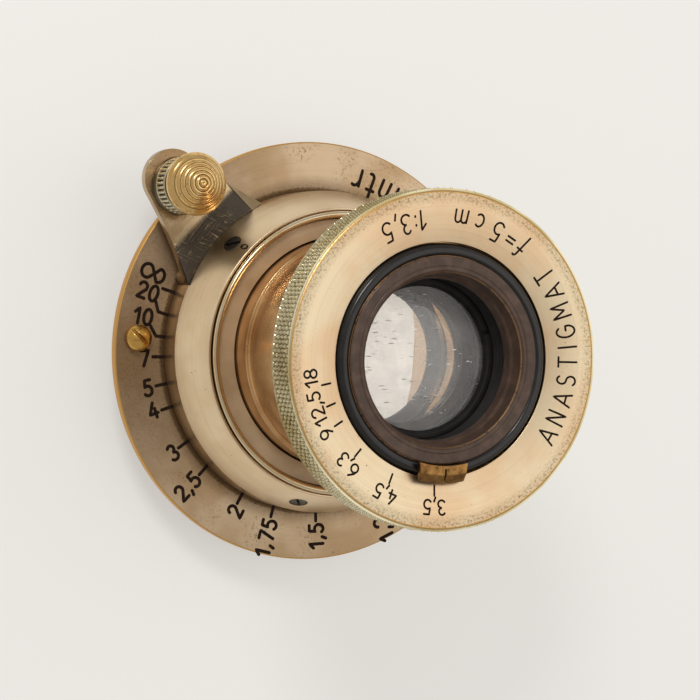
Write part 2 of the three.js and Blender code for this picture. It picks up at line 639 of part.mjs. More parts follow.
function glass(radius, backEdgeZ, backSag, frontEdgeZ, frontSag) {
  const back = surface(radius, backEdgeZ, backSag).reverse();
  return turned([...back, ...surface(radius, frontEdgeZ, frontSag)], GLASS_SIDES);
}

addPiece('front_cell', frontCell(), 'blackLacquer');
addPiece('front_retaining_ring', ring(7.75, FRONT_RETAINER_R, 33.95, 34.6), 'blackLacquer');
addPiece('front_element', glass(FRONT_GLASS_R, 32.9, 0.15, 33.6, 1.6), 'glass');
addPiece('second_element', glass(SECOND_GLASS_R, 26.95, 0.6, 29.25, -0.5), 'glass');
addPiece('element_spacer', elementSpacer(), 'blackLacquer');
addPiece('rear_cell', rearCell(), 'brownLacquer');
addPiece('doublet_front', glass(DOUBLET_R, 23, 1.3, 25.75, -0.3), 'glass');
addPiece('doublet_back', glass(DOUBLET_R, 22, -1.4, 22.94, 1.3), 'glass');
addPiece('rear_retaining_ring', ring(6.6, DOUBLET_R, 20.7, 21.4), 'blackLacquer');

export default lens;
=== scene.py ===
"""Collapsible 5 cm f/3.5 camera lens in nickel-plated brass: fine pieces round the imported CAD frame."""

import math

import bmesh
import bpy
import numpy as np
from mathutils import Matrix, Vector


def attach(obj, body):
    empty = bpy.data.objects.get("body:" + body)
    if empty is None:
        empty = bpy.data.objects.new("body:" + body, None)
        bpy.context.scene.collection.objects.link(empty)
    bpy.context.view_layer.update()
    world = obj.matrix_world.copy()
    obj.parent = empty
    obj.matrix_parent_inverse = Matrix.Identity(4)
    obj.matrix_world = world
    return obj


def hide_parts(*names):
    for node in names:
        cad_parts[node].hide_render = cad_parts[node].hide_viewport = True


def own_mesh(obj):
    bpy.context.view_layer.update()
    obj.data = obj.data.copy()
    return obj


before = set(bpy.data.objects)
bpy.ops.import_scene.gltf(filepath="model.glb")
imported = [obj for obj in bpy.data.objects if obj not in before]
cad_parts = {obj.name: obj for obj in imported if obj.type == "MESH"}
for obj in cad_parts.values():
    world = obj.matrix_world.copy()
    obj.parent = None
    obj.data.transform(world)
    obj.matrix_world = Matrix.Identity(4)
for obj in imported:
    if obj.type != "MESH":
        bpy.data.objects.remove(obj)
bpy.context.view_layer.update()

# Driving sizes, in millimetres and degrees. Z runs along the optical axis towards the front. ---------------

MM = 0.001
FINE, MEDIUM, SMALL = 256, 128, 64      # sides of turned pieces
SHARP = 32                              # angle from which an edge is shaded sharp

FLANGE_R, FLANGE_BACK, FLANGE_FRONT = 24.8, 4.6, 5.8
SCREW_R, SCREW_PITCH, SCREW_DEPTH = 19.5, 0.977, 0.32
MOUNT_BORE_R, NECK_R, NECK_TOP = 17.0, 18.2, 8.8
FLANGE_SCREW_AT = (22.2, 176.1)
SKIRT_R, SKIRT_BOTTOM, CONE_BASE = 18.9, 6.15, 9.6
CONE_TOP_R, CONE_TOP = 16.75, 14.7
LIP_TOP = 15.3
RING_SCREWS = (136, 256, 16)
RING_SCREW_Z = 11.87
LEVER_ANGLE, KNOB_RADIUS = 134, 26.35
LEVER_BOTTOM, LEVER_TOP, LEVER_ROOT_TOP = 7.9, 9.0, 9.7
LEVER_ROOT_R, LEVER_TIP_AT, LEVER_TIP_R = 18.93, 27.4, 3.45
COLLAR_R, COLLAR_TOP, COLLAR_TEETH = 3.3, 12.75, 37
CAP_R, CAP_BOTTOM, CAP_TOP = 3.6, 13.85, 16.7
CAP_RIDGES, CAP_RIDGED_R = 6, 2.85
CATCH_ANGLE = 128.5
TUBE_R, TUBE_COLLAR_R, TUBE_BORE_R = 12.9, 13.3, 12.1
TUBE_BOTTOM, TUBE_COLLAR_TOP, TUBE_TOP = 6.0, 17.2, 38.5
HEAD_BOTTOM, FRONT, KNURL_R = 36, 40.3, 18.1
KNURL_PITCH, KNURL_DEPTH = 0.95, 0.72
FACE_FLAT_R, FACE_INNER_R, FACE_INNER_Z = 16.4, 12.45, 39.6
TAB_ANGLE, TAB_ARC = -92.0, 29.5
BLADE_PIVOT_R, BLADE_HALF_WIDTH, BLADE_SPAN = 9.3, 1.9, 141.5
IRIS_SEAT = 29.9


def polar(radius, angle):
    return radius * math.cos(math.radians(angle)), radius * math.sin(math.radians(angle))


def at(radius, angle):
    return Matrix.Rotation(math.radians(angle), 4, "Z") @ Matrix.Translation((radius, 0, 0))


def linked(name, data):
    """A new object in the scene."""
    item = bpy.data.objects.new(name, data)
    bpy.context.scene.collection.objects.link(item)
    return item


KNOB_AXIS = Vector((*polar(KNOB_RADIUS, LEVER_ANGLE), 0.0))
ON_KNOB = at(KNOB_RADIUS, LEVER_ANGLE)

# Camera, as the photograph was taken: turned and tilted about the middle of the front face. --------------

CAMERA_TURN, CAMERA_TILT = 24.846, 1.592
CAMERA_OFFSET = Vector((10.093, -1.075, -241.98))
FOCAL_IN_FRAMES = 2298.7 / 700


def make_camera():
    turn = Matrix.Rotation(math.radians(CAMERA_TURN), 3, "Y")
    turn = turn @ Matrix.Rotation(math.radians(CAMERA_TILT), 3, "X")
    place = turn.transposed() @ -CAMERA_OFFSET + Vector((0, 0, FRONT))
    data = bpy.data.cameras.new("camera")
    data.sensor_width = 36
    data.lens = data.sensor_width * FOCAL_IN_FRAMES
    data.clip_start, data.clip_end = 0.01, 10
    camera = linked("camera", data)
    camera.matrix_world = Matrix.Translation(place * MM) @ turn.transposed().to_4x4()
    bpy.context.scene.camera = camera


make_camera()

# Material building ---------------------------------------------------------------------------------------


class Finish:
    """A material's node tree, with coordinates in millimetres and the marks that the finishes share."""

    def __init__(self, name, axis=(0, 0, 0)):
        self.material = bpy.data.materials.new(name)
        self.material.use_nodes = True
        self.tree = self.material.node_tree
        self.shader = self.tree.nodes["Principled BSDF"]
        place = self.add("ShaderNodeTexCoord").outputs["Object"]
        self.mm = self.vector("SCALE", place, scale=1000)
        if any(axis):
            self.mm = self.vector("SUBTRACT", self.mm, tuple(axis))
        parts = self.add("ShaderNodeSeparateXYZ", {0: self.mm})
        self.x, self.y, self.z = parts.outputs
        self.radius = self.vector("LENGTH", self.join(self.x, self.y, 0.0))

    def add(self, kind, inputs=None, **settings):
        node = self.tree.nodes.new(kind)
        for key, value in settings.items():
            setattr(node, key, value)
        for key, value in (inputs or {}).items():
            self.feed(node.inputs[key], value)
        return node

    def feed(self, socket, value):
        if isinstance(value, bpy.types.NodeSocket):
            self.tree.links.new(value, socket)
        else:
            socket.default_value = value

    def vector(self, operation, first, second=None, scale=None):
        node = self.add("ShaderNodeVectorMath", {0: first}, operation=operation)
        if second is not None:
            self.feed(node.inputs[1], second)
        if scale is not None:
            node.inputs["Scale"].default_value = scale
        return node.outputs["Value"] if operation == "LENGTH" else node.outputs["Vector"]

    def join(self, x, y, z):
        return self.add("ShaderNodeCombineXYZ", {0: x, 1: y, 2: z}).outputs[0]

    def maths(self, operation, first, second=0.0, third=0.0):
        node = self.add("ShaderNodeMath", {0: first, 1: second, 2: third}, operation=operation)
        return node.outputs[0]

    def scaled(self, value, factor, base):
        return self.maths("MULTIPLY_ADD", value, factor, base)

    def larger(self, first, second):
        return self.maths("MAXIMUM", first, second)

    def times(self, *values):
        result = values[0]
        for value in values[1:]:
            result = self.maths("MULTIPLY", result, value)
        return result

    def step(self, value, low, high):
        """0 below low, 1 above high, smooth between; falls instead where low is above high."""
        inputs = {0: value, 1: min(low, high), 2: max(low, high), 3: 0.0, 4: 1.0}
        if low > high:
            inputs[3], inputs[4] = 1.0, 0.0
        return self.add("ShaderNodeMapRange", inputs, interpolation_type="SMOOTHSTEP").outputs[0]

    def band(self, value, centre, half, soft):
        rising = self.step(value, centre - half - soft, centre - half)
        return self.times(rising, self.step(value, centre + half + soft, centre + half))

    def noise(self, scale, detail=4.0, rough=0.55, where=None, distortion=0.0):
        inputs = {"Vector": where or self.mm, "Scale": scale, "Detail": detail, "Roughness": rough}
        inputs["Distortion"] = distortion
        return self.add("ShaderNodeTexNoise", inputs).outputs[0]

    def turned(self, fineness, drift=0.6):
        """Noise drawn out round the axis, as a lathe tool leaves it."""
        across = self.maths("DIVIDE", self.x, self.radius)
        along = self.maths("DIVIDE", self.y, self.radius)
        depth = self.scaled(self.z, 0.83, self.radius)
        where = self.join(self.times(across, drift), self.times(along, drift), self.times(depth, fineness))
        return self.noise(1.0, 5.0, 0.7, where)

    def spots(self, scale, size, share, seed=0.0):
        """Small round pits: 1 in a pit, 0 outside. share is how many of the cells hold one."""
        where = self.vector("ADD", self.mm, (seed, seed * 1.7, seed * 0.6))
        cells = self.add("ShaderNodeTexVoronoi", {"Vector": where, "Scale": scale})
        near = self.step(cells.outputs["Distance"], size, size * 0.5)
        grey = self.add("ShaderNodeSeparateColor", {0: cells.outputs["Color"]}).outputs[0]
        return self.times(near, self.step(grey, share, share - 0.02))

    def scratches(self, angle, density=0.5, seed=0.0):
        """Fine lines in one direction."""
        width = 0.012
        turned = self.add("ShaderNodeVectorRotate", {"Vector": self.mm, "Angle": math.radians(angle)})
        turned.rotation_type = "Z_AXIS"
        where = self.vector("MULTIPLY", turned.outputs[0], (0.16, 2.6, 0.6))
        where = self.vector("ADD", where, (seed, seed, seed))
        lines = self.noise(1.0, 2.0, 0.5, where, 0.35)
        thin = self.step(self.maths("ABSOLUTE", self.maths("SUBTRACT", lines, 0.5)), width, width * 0.2)
        patches = self.noise(0.35, 2.0, 0.5, self.vector("ADD", self.mm, (seed, 9, 4)))
        return self.times(thin, self.step(patches, density, density + 0.1))

    def mix(self, amount, first, second):
        node = self.add("ShaderNodeMix", data_type="RGBA")
        self.feed(node.inputs["Factor"], amount)
        self.feed(node.inputs["A"], first if isinstance(first, bpy.types.NodeSocket) else (*first, 1))
        self.feed(node.inputs["B"], second if isinstance(second, bpy.types.NodeSocket) else (*second, 1))
        return node.outputs["Result"]

    def bump(self, *layers):
        """Layers of (height, depth in micrometres), the first one deepest in the chain."""
        normal = None
        for height, depth in layers:
            node = self.add("ShaderNodeBump", {"Height": height, "Strength": 1.0, "Distance": depth * 1e-6})
            if normal is not None:
                self.feed(node.inputs["Normal"], normal)
            normal = node.outputs[0]
        self.feed(self.shader.inputs["Normal"], normal)

    def set(self, **values):
        for key, value in values.items():
            self.feed(self.shader.inputs[key.replace("_", " ")], value)
        return self.material


def linear(red, green, blue):
    """A colour given as 0-255 sRGB, in the linear numbers that shaders take."""
    def one(c):
        c /= 255
        return c / 12.92 if c <= 0.04045 else ((c + 0.055) / 1.055) ** 2.4
    return (one(red), one(green), one(blue))


BRASS = linear(218, 172, 98)
RAW_BRASS = linear(206, 158, 88)
# This brown is tarnish. As the default stain colour it also colours the flange's painted shade.
TARNISH_AND_SHADE = linear(100, 76, 50)
WORN_LINE = linear(156, 120, 84)


def plated(name, light, warm, dirt=0.35, roughness=0.3, rim=None, axis=(0, 0, 0), shade=None, worn=0.08,
           stain_and_shade=TARNISH_AND_SHADE, metal=1.0):
    """Nickel plate over brass: cloudy colour, turning marks, pits, speckled tarnish and scratches, with
    painted shade from a given mask on the flange and the lever.
    """
    f = Finish(name, axis)
    clouds = f.step(f.noise(0.11, 3.0), 0.38, 0.64)
    turning = f.turned(9.0)
    colour = f.mix(clouds, light, warm)
    colour = f.mix(f.times(f.step(turning, 0.45, 0.75), 0.12), colour, TARNISH_AND_SHADE)
    speckle = f.step(f.noise(2.6, 6.0, 0.72), 0.62 - dirt * 0.12, 0.7)
    patches = f.step(f.noise(0.3, 3.0), 0.42, 0.68)
    darkening = f.times(speckle, patches, dirt)
    # A given mask adds to the speckled dirt: on the flange it is painted shade, and on the lever a painted
    # dark reflection. Both mix towards the stain colour.
    if shade is not None:
        stain_and_shade_mask = shade(f)
        darkening = f.larger(darkening, f.times(stain_and_shade_mask, 0.75))
        darkening = f.larger(darkening, f.times(stain_and_shade_mask, f.step(f.noise(3.4, 5.0, 0.7), 0.42, 0.6)))
    colour = f.mix(darkening, colour, stain_and_shade)
    pits = f.spots(0.9, 0.075, 0.3)
    fine_pits = f.spots(2.3, 0.09, 0.22, 5.0)
    holes = f.larger(pits, fine_pits)
    colour = f.mix(f.times(holes, 0.8), colour, linear(48, 32, 20))
    lines = f.larger(f.scratches(24, 0.5), f.scratches(-51, 0.55, 3.0))
    colour = f.mix(f.times(lines, worn), colour, light)
    if rim is not None:
        colour = f.mix(rim(f), colour, RAW_BRASS)
    rough = f.scaled(turning, 0.16, roughness - 0.08)
    rough = f.scaled(darkening, 0.25, rough)
    f.bump((f.noise(0.5, 2.0), 14.0), (turning, 5.0), (f.noise(5.0, 3.0), 2.5),
           (f.scaled(lines, worn, holes), -9.0))
    return f.set(Base_Color=colour, Metallic=metal, Roughness=rough)


def bare_brass(name, colour=BRASS, dark=TARNISH_AND_SHADE, roughness=0.24, axis=(0, 0, 0), groove=None):
    """Bare brass: warm and cloudy, with tarnish in patches, and darker in its grooves where a groove mask is
    given.
    """
    f = Finish(name, axis)
    clouds = f.step(f.noise(0.6, 4.0), 0.35, 0.7)
    tint = f.mix(f.times(clouds, 0.45), colour, RAW_BRASS)
    darkening = f.times(f.step(f.noise(2.2, 5.0, 0.7), 0.52, 0.66), 0.5)
    if groove is not None:
        darkening = f.larger(darkening, groove(f))
    tint = f.mix(darkening, tint, dark)
    rough = f.scaled(darkening, 0.3, roughness)
    f.bump((f.turned(14.0), 4.0), (f.noise(6.0, 3.0), 2.0), (f.spots(2.0, 0.1, 0.2), -8.0))
    return f.set(Base_Color=tint, Metallic=1.0, Roughness=rough)


def lacquer(name, colour, worn, roughness, coat, edge=None):
    """Dark lacquer on brass: glossy, dusty, and rubbed through to the metal on its edges."""
    f = Finish(name)
    dust = f.spots(3.2, 0.07, 0.1, 2.0)
    cloud = f.step(f.noise(0.7, 4.0), 0.4, 0.7)
    tint = f.mix(f.times(cloud, 0.5), colour, tuple(c * 2.2 + 0.004 for c in colour))
    metal = 0.0
    if edge is not None:
        metal = f.times(edge(f), f.step(f.noise(1.6, 5.0, 0.7), 0.36, 0.5))
        tint = f.mix(metal, tint, worn)
    tint = f.mix(f.times(dust, 0.5), tint, linear(170, 166, 160))
    lines = f.scratches(70, 0.5, 7.0)
    rough = f.scaled(f.noise(1.4, 4.0), 0.16, roughness - 0.06)
    rough = f.scaled(lines, 0.2, rough)
    f.bump((f.noise(1.2, 3.0), 9.0), (f.turned(10.0), 3.0), (lines, -5.0))
    return f.set(Base_Color=tint, Metallic=metal, Roughness=rough, Coat_Weight=coat, Coat_Roughness=0.06,
                 Specular_IOR_Level=0.3)


def dark_steel(name, colour=linear(92, 88, 82), roughness=0.36):
    f = Finish(name)
    darkening = f.step(f.noise(1.8, 5.0, 0.7), 0.45, 0.65)
    tint = f.mix(f.times(darkening, 0.5), colour, linear(56, 44, 34))
    f.bump((f.noise(4.0, 4.0), 4.0), (f.scratches(10, 0.45, 2.0), -4.0))
    return f.set(Base_Color=tint, Metallic=1.0, Roughness=f.scaled(darkening, 0.2, roughness))


def wool_felt():
    f = Finish("felt")
    fibres = f.noise(9.0, 6.0, 0.75, distortion=1.2)
    f.bump((fibres, 60.0))
    f.set(Sheen_Weight=0.6, Sheen_Roughness=0.6)
    return f.set(Base_Color=f.mix(fibres, linear(14, 12, 11), linear(52, 46, 42)), Roughness=0.95)


def optical_glass(name, tint, haze, veil):
    """Old uncoated glass, a little hazy, with dust and short fibres on it."""
    f = Finish(name)
    dust = f.larger(f.spots(0.8, 0.07, 0.4, 3.0), f.spots(2.2, 0.09, 0.16, 8.0))
    short = f.vector("MULTIPLY", f.mm, (0.7, 4.0, 0.7))
    fibres = f.add("ShaderNodeTexVoronoi", {"Vector": short, "Scale": 0.8})
    grey = f.add("ShaderNodeSeparateColor", {0: fibres.outputs["Color"]}).outputs[1]
    dash = f.times(f.step(fibres.outputs["Distance"], 0.2, 0.12), f.step(grey, 0.14, 0.12))
    dust = f.larger(dust, dash)
    clear = f.scaled(f.step(f.noise(0.5, 4.0), 0.3, 0.8), -veil, 1.0 - veil)
    f.set(Base_Color=f.mix(dust, tint, (1, 1, 1)), IOR=1.52)
    f.set(Roughness=f.scaled(dust, 0.5, haze))
    return f.set(Transmission_Weight=f.scaled(dust, -0.85, clear))


def ink(name, colour):
    """Dark filler in the engraving, patchy and matt."""
    f = Finish(name)
    tint = f.mix(f.step(f.noise(2.4, 4.0), 0.4, 0.7), colour, tuple(c * 1.8 + 0.003 for c in colour))
    f.bump((f.noise(7.0, 3.0), 6.0))
    return f.set(Base_Color=tint, Roughness=0.7, Specular_IOR_Level=0.1)


def flange_painted_shade(f):
    """Painted shade: darker close to the focus ring, in the shadow by its skirt, and on the lever's side,
    where the flange catches less light.
    """
    near = f.times(f.step(f.radius, 21.3, 18.9), 0.75)
    angle = f.maths("ARCTAN2", f.y, f.x)
    side = f.step(f.maths("COSINE", f.maths("SUBTRACT", angle, math.radians(165))), 0.35, 0.98)
    skirt = f.times(f.step(f.radius, 19.9, 19.1), 1.3)
    return f.larger(f.larger(near, f.times(side, 0.6)), skirt)


def face_rim(f):
    return f.times(f.band(f.radius, 17.74, 0.06, 0.05), 0.9)


def face_shade(f):
    outer = f.step(f.radius, 16.0, 17.5)
    speckle = f.step(f.noise(3.6, 6.0, 0.75), 0.47, 0.62)
    return f.times(outer, f.scaled(speckle, 0.65, 0.2))


def lever_painted_reflection(f):
    """Painted dark reflection on the scratched, mirror-like slope beside the lever's bevel."""
    turn = math.radians(LEVER_ANGLE)
    side = f.maths("SUBTRACT", f.times(f.y, math.cos(turn)), f.times(f.x, math.sin(turn)))
    across = f.band(side, 1.3, 5.8, 0.05)
    return f.times(f.step(f.z, LEVER_TOP, LEVER_TOP + 0.12), across, 1.3)


def knurl_shade(f):
    """Darker down between the knurl's points."""
    return f.times(f.step(f.radius, 18.02, 17.7), f.step(f.radius, 17.3, 17.5))


def collar_shade(f):
    return f.step(f.radius, COLLAR_R - 0.04, COLLAR_R - 0.2)


def cap_groove(f):
    ridge = f.maths("ABSOLUTE", f.maths("SINE", f.times(f.radius, math.pi * CAP_RIDGES / CAP_RIDGED_R)))
    return f.times(f.step(ridge, 0.5, 0.12), f.step(f.radius, 3.0, 2.95), 0.75)


MATERIAL = {
    "face": plated("nickel_face", linear(226, 206, 172), linear(222, 190, 152), 0.3, 0.34, face_rim,
                   shade=face_shade, stain_and_shade=linear(118, 98, 62)),
    "knurl": plated("nickel_knurl", linear(226, 214, 178), linear(188, 170, 122), 0.5, 0.17,
                    shade=knurl_shade, stain_and_shade=linear(78, 68, 38)),
    "focus": plated("nickel_focus", linear(228, 206, 172), linear(216, 190, 154), 0.25, 0.33),
    "guide": plated("nickel_guide", linear(206, 182, 150), linear(180, 154, 122), 0.3, 0.45, metal=0.35),
    "lip": plated("nickel_lip", linear(226, 208, 178), linear(206, 180, 138), 0.2, 0.2),
    # The flange's mask is painted shade by the focus ring and on the lever's side.
    "flange": plated("nickel_flange", linear(206, 180, 148), linear(184, 154, 118), 0.95, 0.36,
                     lambda f: f.step(f.radius, 24.6, 24.68), shade=flange_painted_shade),
    # The lever's stain colour serves both its speckled dirt and the painted dark reflection on its slope.
    "lever": plated("nickel_lever", linear(192, 168, 132), linear(152, 122, 88), 0.6, 0.24,
                    shade=lever_painted_reflection, worn=0.85, stain_and_shade=linear(80, 74, 66)),
    "collar": plated("nickel_collar", linear(204, 194, 162), linear(160, 146, 110), 0.4, 0.26,
                     axis=KNOB_AXIS, shade=collar_shade, stain_and_shade=linear(58, 50, 36)),
    "collar_base": plated("nickel_collar_base", linear(118, 108, 90), linear(86, 76, 58), 0.8, 0.32,
                          axis=KNOB_AXIS),
    "tube": plated("nickel_tube", linear(226, 186, 134), linear(186, 138, 88), 0.4, 0.2, metal=0.85),
    "cap": bare_brass("brass_cap", linear(236, 198, 134), linear(110, 76, 32), 0.2, axis=KNOB_AXIS,
                      groove=cap_groove),
    "tab": bare_brass("brass_tab", linear(112, 78, 46), linear(48, 32, 20), 0.3),
    "screw": bare_brass("brass_screw", linear(214, 168, 88)),
    "brass": bare_brass("turned_brass", linear(190, 150, 84), roughness=0.32),
    "black": lacquer("black_lacquer", linear(16, 13, 12), WORN_LINE, 0.3, 0.35,
                     edge=lambda f: f.band(f.radius, 10.98, 0.04, 0.04)),
    "brown": lacquer("brown_lacquer", linear(72, 54, 43), WORN_LINE, 0.42, 0.1,
                     edge=lambda f: f.band(f.radius, 9.3, 0.03, 0.04)),
    "inner": lacquer("inner_black", linear(24, 21, 20), TARNISH_AND_SHADE, 0.6, 0.0),
    "steel": dark_steel("dark_steel"),
    "blade": dark_steel("blued_steel", linear(60, 62, 68), 0.4),
    "felt": wool_felt(),
    "glass": optical_glass("front_glass", (0.98, 0.96, 0.94), 0.0, 0.09),
    "rear_glass": optical_glass("rear_glass", (0.97, 0.98, 0.97), 0.0, 0.01),
    "ink": ink("engraving_ink", linear(30, 20, 14)),
    "flange_ink": ink("flange_ink", linear(34, 22, 15)),
}

# Mesh building -------------------------------------------------------------------------------------------


def object_from(name, vertices, faces, material, sharp=SHARP):
    mesh = bpy.data.meshes.new(name)
    mesh.from_pydata([tuple(Vector(v) * MM) for v in vertices], [], faces)
    mesh.update()
    tidy = bmesh.new()
    tidy.from_mesh(mesh)
    bmesh.ops.remove_doubles(tidy, verts=tidy.verts, dist=1e-7)
    bmesh.ops.recalc_face_normals(tidy, faces=tidy.faces)
    tidy.to_mesh(mesh)
    tidy.free()
    soften(mesh, sharp)
    mesh.materials.append(MATERIAL[material])
    return linked(name, mesh)


def soften(mesh, sharp=SHARP):
    mesh.polygons.foreach_set("use_smooth", [True] * len(mesh.polygons))
    mesh.set_sharp_from_angle(angle=math.radians(sharp))


def rounded(points, radius=0.07, steps=3, closed=True):
    """The outline with each corner turned into an arc. A point may carry its own radius as a third number."""
    result = []
    count = len(points)
    for i, point in enumerate(points):
        here = Vector(point[:2])
        own = point[2] if len(point) > 2 else radius
        if own == 0 or (not closed and i in (0, count - 1)):
            result.append(tuple(here))
            continue
        before = Vector(points[i - 1][:2]) - here
        after = Vector(points[(i + 1) % count][:2]) - here
        half = before.angle(after) / 2
        reach = min(own / math.tan(half), 0.45 * before.length, 0.45 * after.length)
        own = reach * math.tan(half)
        middle = here + (before.normalized() + after.normalized()).normalized() * own / math.sin(half)
        start = here + before.normalized() * reach - middle
        end = here + after.normalized() * reach - middle
        first = math.atan2(start.y, start.x)
        sweep = (math.atan2(end.y, end.x) - first + math.pi) % (2 * math.pi) - math.pi
        for k in range(steps + 1):
            angle = first + sweep * k / steps
            result.append((middle.x + own * math.cos(angle), middle.y + own * math.sin(angle)))
    return result


def dense(start, end, count):
    """Points from start up to, not including, end."""
    return [tuple(Vector(start).lerp(Vector(end), k / count)) + (0,) for k in range(count)]


def turned(name, outline, material, sides=FINE, relief=None, sharp=SHARP):
    """A solid of revolution about Z. relief(radius, z, angle) gives how far each point moves outwards."""
    on_axis = outline[0][0] == 0 and outline[-1][0] == 0
    radius = np.array([p[0] for p in outline])[:, None]
    height = np.array([p[1] for p in outline])[:, None] * np.ones((1, sides))
    angle = np.arange(sides)[None, :] * 2 * math.pi / sides
    spread = radius * np.ones((1, sides))
    if relief is not None:
        spread = spread + relief(spread, height, angle * np.ones_like(spread))
    vertices = np.stack([spread * np.cos(angle), spread * np.sin(angle), height], -1).reshape(-1, 3)
    faces = []
    rows = len(outline)
    for i in range(rows - 1 if on_axis else rows):
        low, high = i * sides, ((i + 1) % rows) * sides
        for j in range(sides):
            k = (j + 1) % sides
            faces.append((low + j, low + k, high + k, high + j))
    return object_from(name, vertices, faces, material, sharp)


def extruded(name, outline, bottom, top, material):
    count = len(outline)
    vertices = [(x, y, z) for z in (bottom, top) for x, y in outline]
    faces = [tuple(reversed(range(count))), tuple(range(count, 2 * count))]
    faces += [(i, (i + 1) % count, count + (i + 1) % count, count + i) for i in range(count)]
    return object_from(name, vertices, faces, material)


def carve(piece, tool):
    """Cuts the piece with a tool mesh, which is used up."""
    step = piece.modifiers.new("cut", "BOOLEAN")
    step.operation = "DIFFERENCE"
    step.solver = "EXACT"
    step.object = tool
    apply_modifiers(piece)
    bpy.data.objects.remove(tool)
    return piece


def apply_modifiers(piece):
    graph = bpy.context.evaluated_depsgraph_get()
    mesh = bpy.data.meshes.new_from_object(piece.evaluated_get(graph))
    piece.modifiers.clear()
    piece.data = mesh
    soften(mesh)


def bevelled(piece, width, angle=30, segments=3):
    step = piece.modifiers.new("edges", "BEVEL")
    step.width = width * MM
    step.segments = segments
    step.limit_method = "ANGLE"
    step.angle_limit = math.radians(angle)
    step.harden_normals = False
    apply_modifiers(piece)
    return piece


def moved(piece, matrix):
    """Applies a placement given in millimetres to the mesh itself."""
    scaled = matrix.copy()
    scaled.translation = matrix.translation * MM
    piece.data.transform(scaled)
    return piece


def slot_tool(length, width, bottom, top, angle=0.0):
    x, y = length / 2, width / 2
    outline = [(-x, -y), (x, -y), (x, y), (-x, y)]
    turn = Matrix.Rotation(math.radians(angle), 2)
    return extruded("tool", [tuple(turn @ Vector(p)) for p in outline], bottom, top, "steel")


def finish_piece(piece, body, slot, *nodes):
    """Makes the piece ride on its CAD body, in the place of its CAD nodes. The slot argument is not used."""
    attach(piece, body)
    if nodes:
        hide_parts(*nodes)
    return piece


def ring_outline(inner, outer, bottom, top):
    return [(inner, bottom), (outer, bottom), (outer, top), (inner, top)]


def ring(name, inner, outer, bottom, top, material, corner=0.07):
    return turned(name, rounded(ring_outline(inner, outer, bottom, top), corner), material)


def hole_tool(radius, bottom, top, sides=SMALL):
    return turned("tool", [(0, bottom), (radius, bottom), (radius, top), (0, top)], "steel", sides)


def loop(cx, cy, rx, ry, first=0, last=360, count=20):
    steps = [math.radians(first + (last - first) * k / count) for k in range(count + 1)]
    return [(cx + rx * math.cos(a), cy + ry * math.sin(a)) for a in steps]


def arc_points(cx, cy, radius, first, last, count):
    return loop(cx, cy, radius, radius, first, last, count)


def repaint(piece, material, chosen):
    """Gives a second material to the faces that chosen(radius, z) picks."""
    piece.data.materials.append(MATERIAL[material])
    for polygon in piece.data.polygons:
        if chosen(polygon.center.xy.length / MM, polygon.center.z / MM):
            polygon.material_index = 1


# Reliefs: threads and knurls -----------------------------------------------------------------------------


def thread_relief(low, high, crest, pitch, depth):
    def relief(radius, z, angle):
        phase = (z / pitch - angle / (2 * math.pi)) % 1.0
        profile = 1 - np.abs(2 * phase - 1)
        fade = np.clip((z - low) / 0.3, 0, 1) * np.clip((high - z) / 0.3, 0, 1)
        cut = np.where((np.abs(radius - crest) < 0.02) & (z > low) & (z < high), 1.0, 0.0)
        return -depth * profile * cut * fade
    return relief


def cell_wobble(first, second, seed):
    """A repeatable number from 0 to 1 for each cell of a pattern."""
    value = np.sin(np.floor(first) * 12.9898 + np.floor(second) * 78.233 + seed) * 43758.5453
    return value - np.floor(value)


def diamond_relief(low, high, crest, pitch, depth):
    teeth = round(2 * math.pi * crest / pitch)

    def relief(radius, z, angle):
        around = teeth * angle / (2 * math.pi)
        first, second = around + z / pitch, around - z / pitch
        rise = np.minimum(1 - np.abs(2 * (first % 1) - 1), 1 - np.abs(2 * (second % 1) - 1))
        wear = 0.72 + 0.28 * cell_wobble(first, second, 4.0)
        rise = np.minimum(rise, wear) + 0.06 * (cell_wobble(first, second, 9.0) - 0.5)
        fade = np.clip((z - low) / 0.15, 0, 1) * np.clip((high - z) / 0.15, 0, 1)
        cut = (np.abs(radius - crest) < 0.02) & (z >= low) & (z <= high)
        return np.where(cut, depth * (rise - 0.74) * fade, 0.0)
    return relief


def straight_relief(low, high, crest, teeth, depth):
    def relief(radius, z, angle):
        wave = np.abs(np.sin(teeth * angle / 2))
        fade = np.clip((z - low) / 0.12, 0, 1) * np.clip((high - z) / 0.12, 0, 1)
        cut = (np.abs(radius - crest) < 0.02) & (z >= low) & (z <= high)
        return np.where(cut, -depth * (1 - wave) * fade, 0.0)
    return relief


# Mount ---------------------------------------------------------------------------------------------------


def make_mount():
    thread_low, thread_high = 0.45, FLANGE_BACK - 0.65
    back = [(MOUNT_BORE_R, NECK_TOP), (MOUNT_BORE_R, 0.0, 0.25), (SCREW_R - 0.35, 0.0, 0.05)]
    outline = rounded(back, 0.1, 3, False)
    outline += dense((SCREW_R, thread_low - 0.1), (SCREW_R, thread_high + 0.05), 60)
    outline += rounded([
        (SCREW_R, thread_high + 0.1), (SCREW_R - 0.5, FLANGE_BACK - 0.5), (SCREW_R - 0.5, FLANGE_BACK),
        (FLANGE_R, FLANGE_BACK, 0.15), (FLANGE_R, FLANGE_FRONT, 0.18), (NECK_R, FLANGE_FRONT),
        (NECK_R, NECK_TOP), (MOUNT_BORE_R, NECK_TOP),
    ], 0.06, 3, False)[:-1]
    relief = thread_relief(thread_low, thread_high, SCREW_R, SCREW_PITCH, SCREW_DEPTH)
    flange = turned("flange", outline, "flange", FINE, relief)
    finish_piece(flange, "mount", "flange_nickel", "mount_flange")
    sleeve = ring("outer_thread_sleeve", 15.6, 16.95, 0.6, NECK_TOP, "brass")
    finish_piece(sleeve, "mount", "turned_brass", "outer_helicoid")


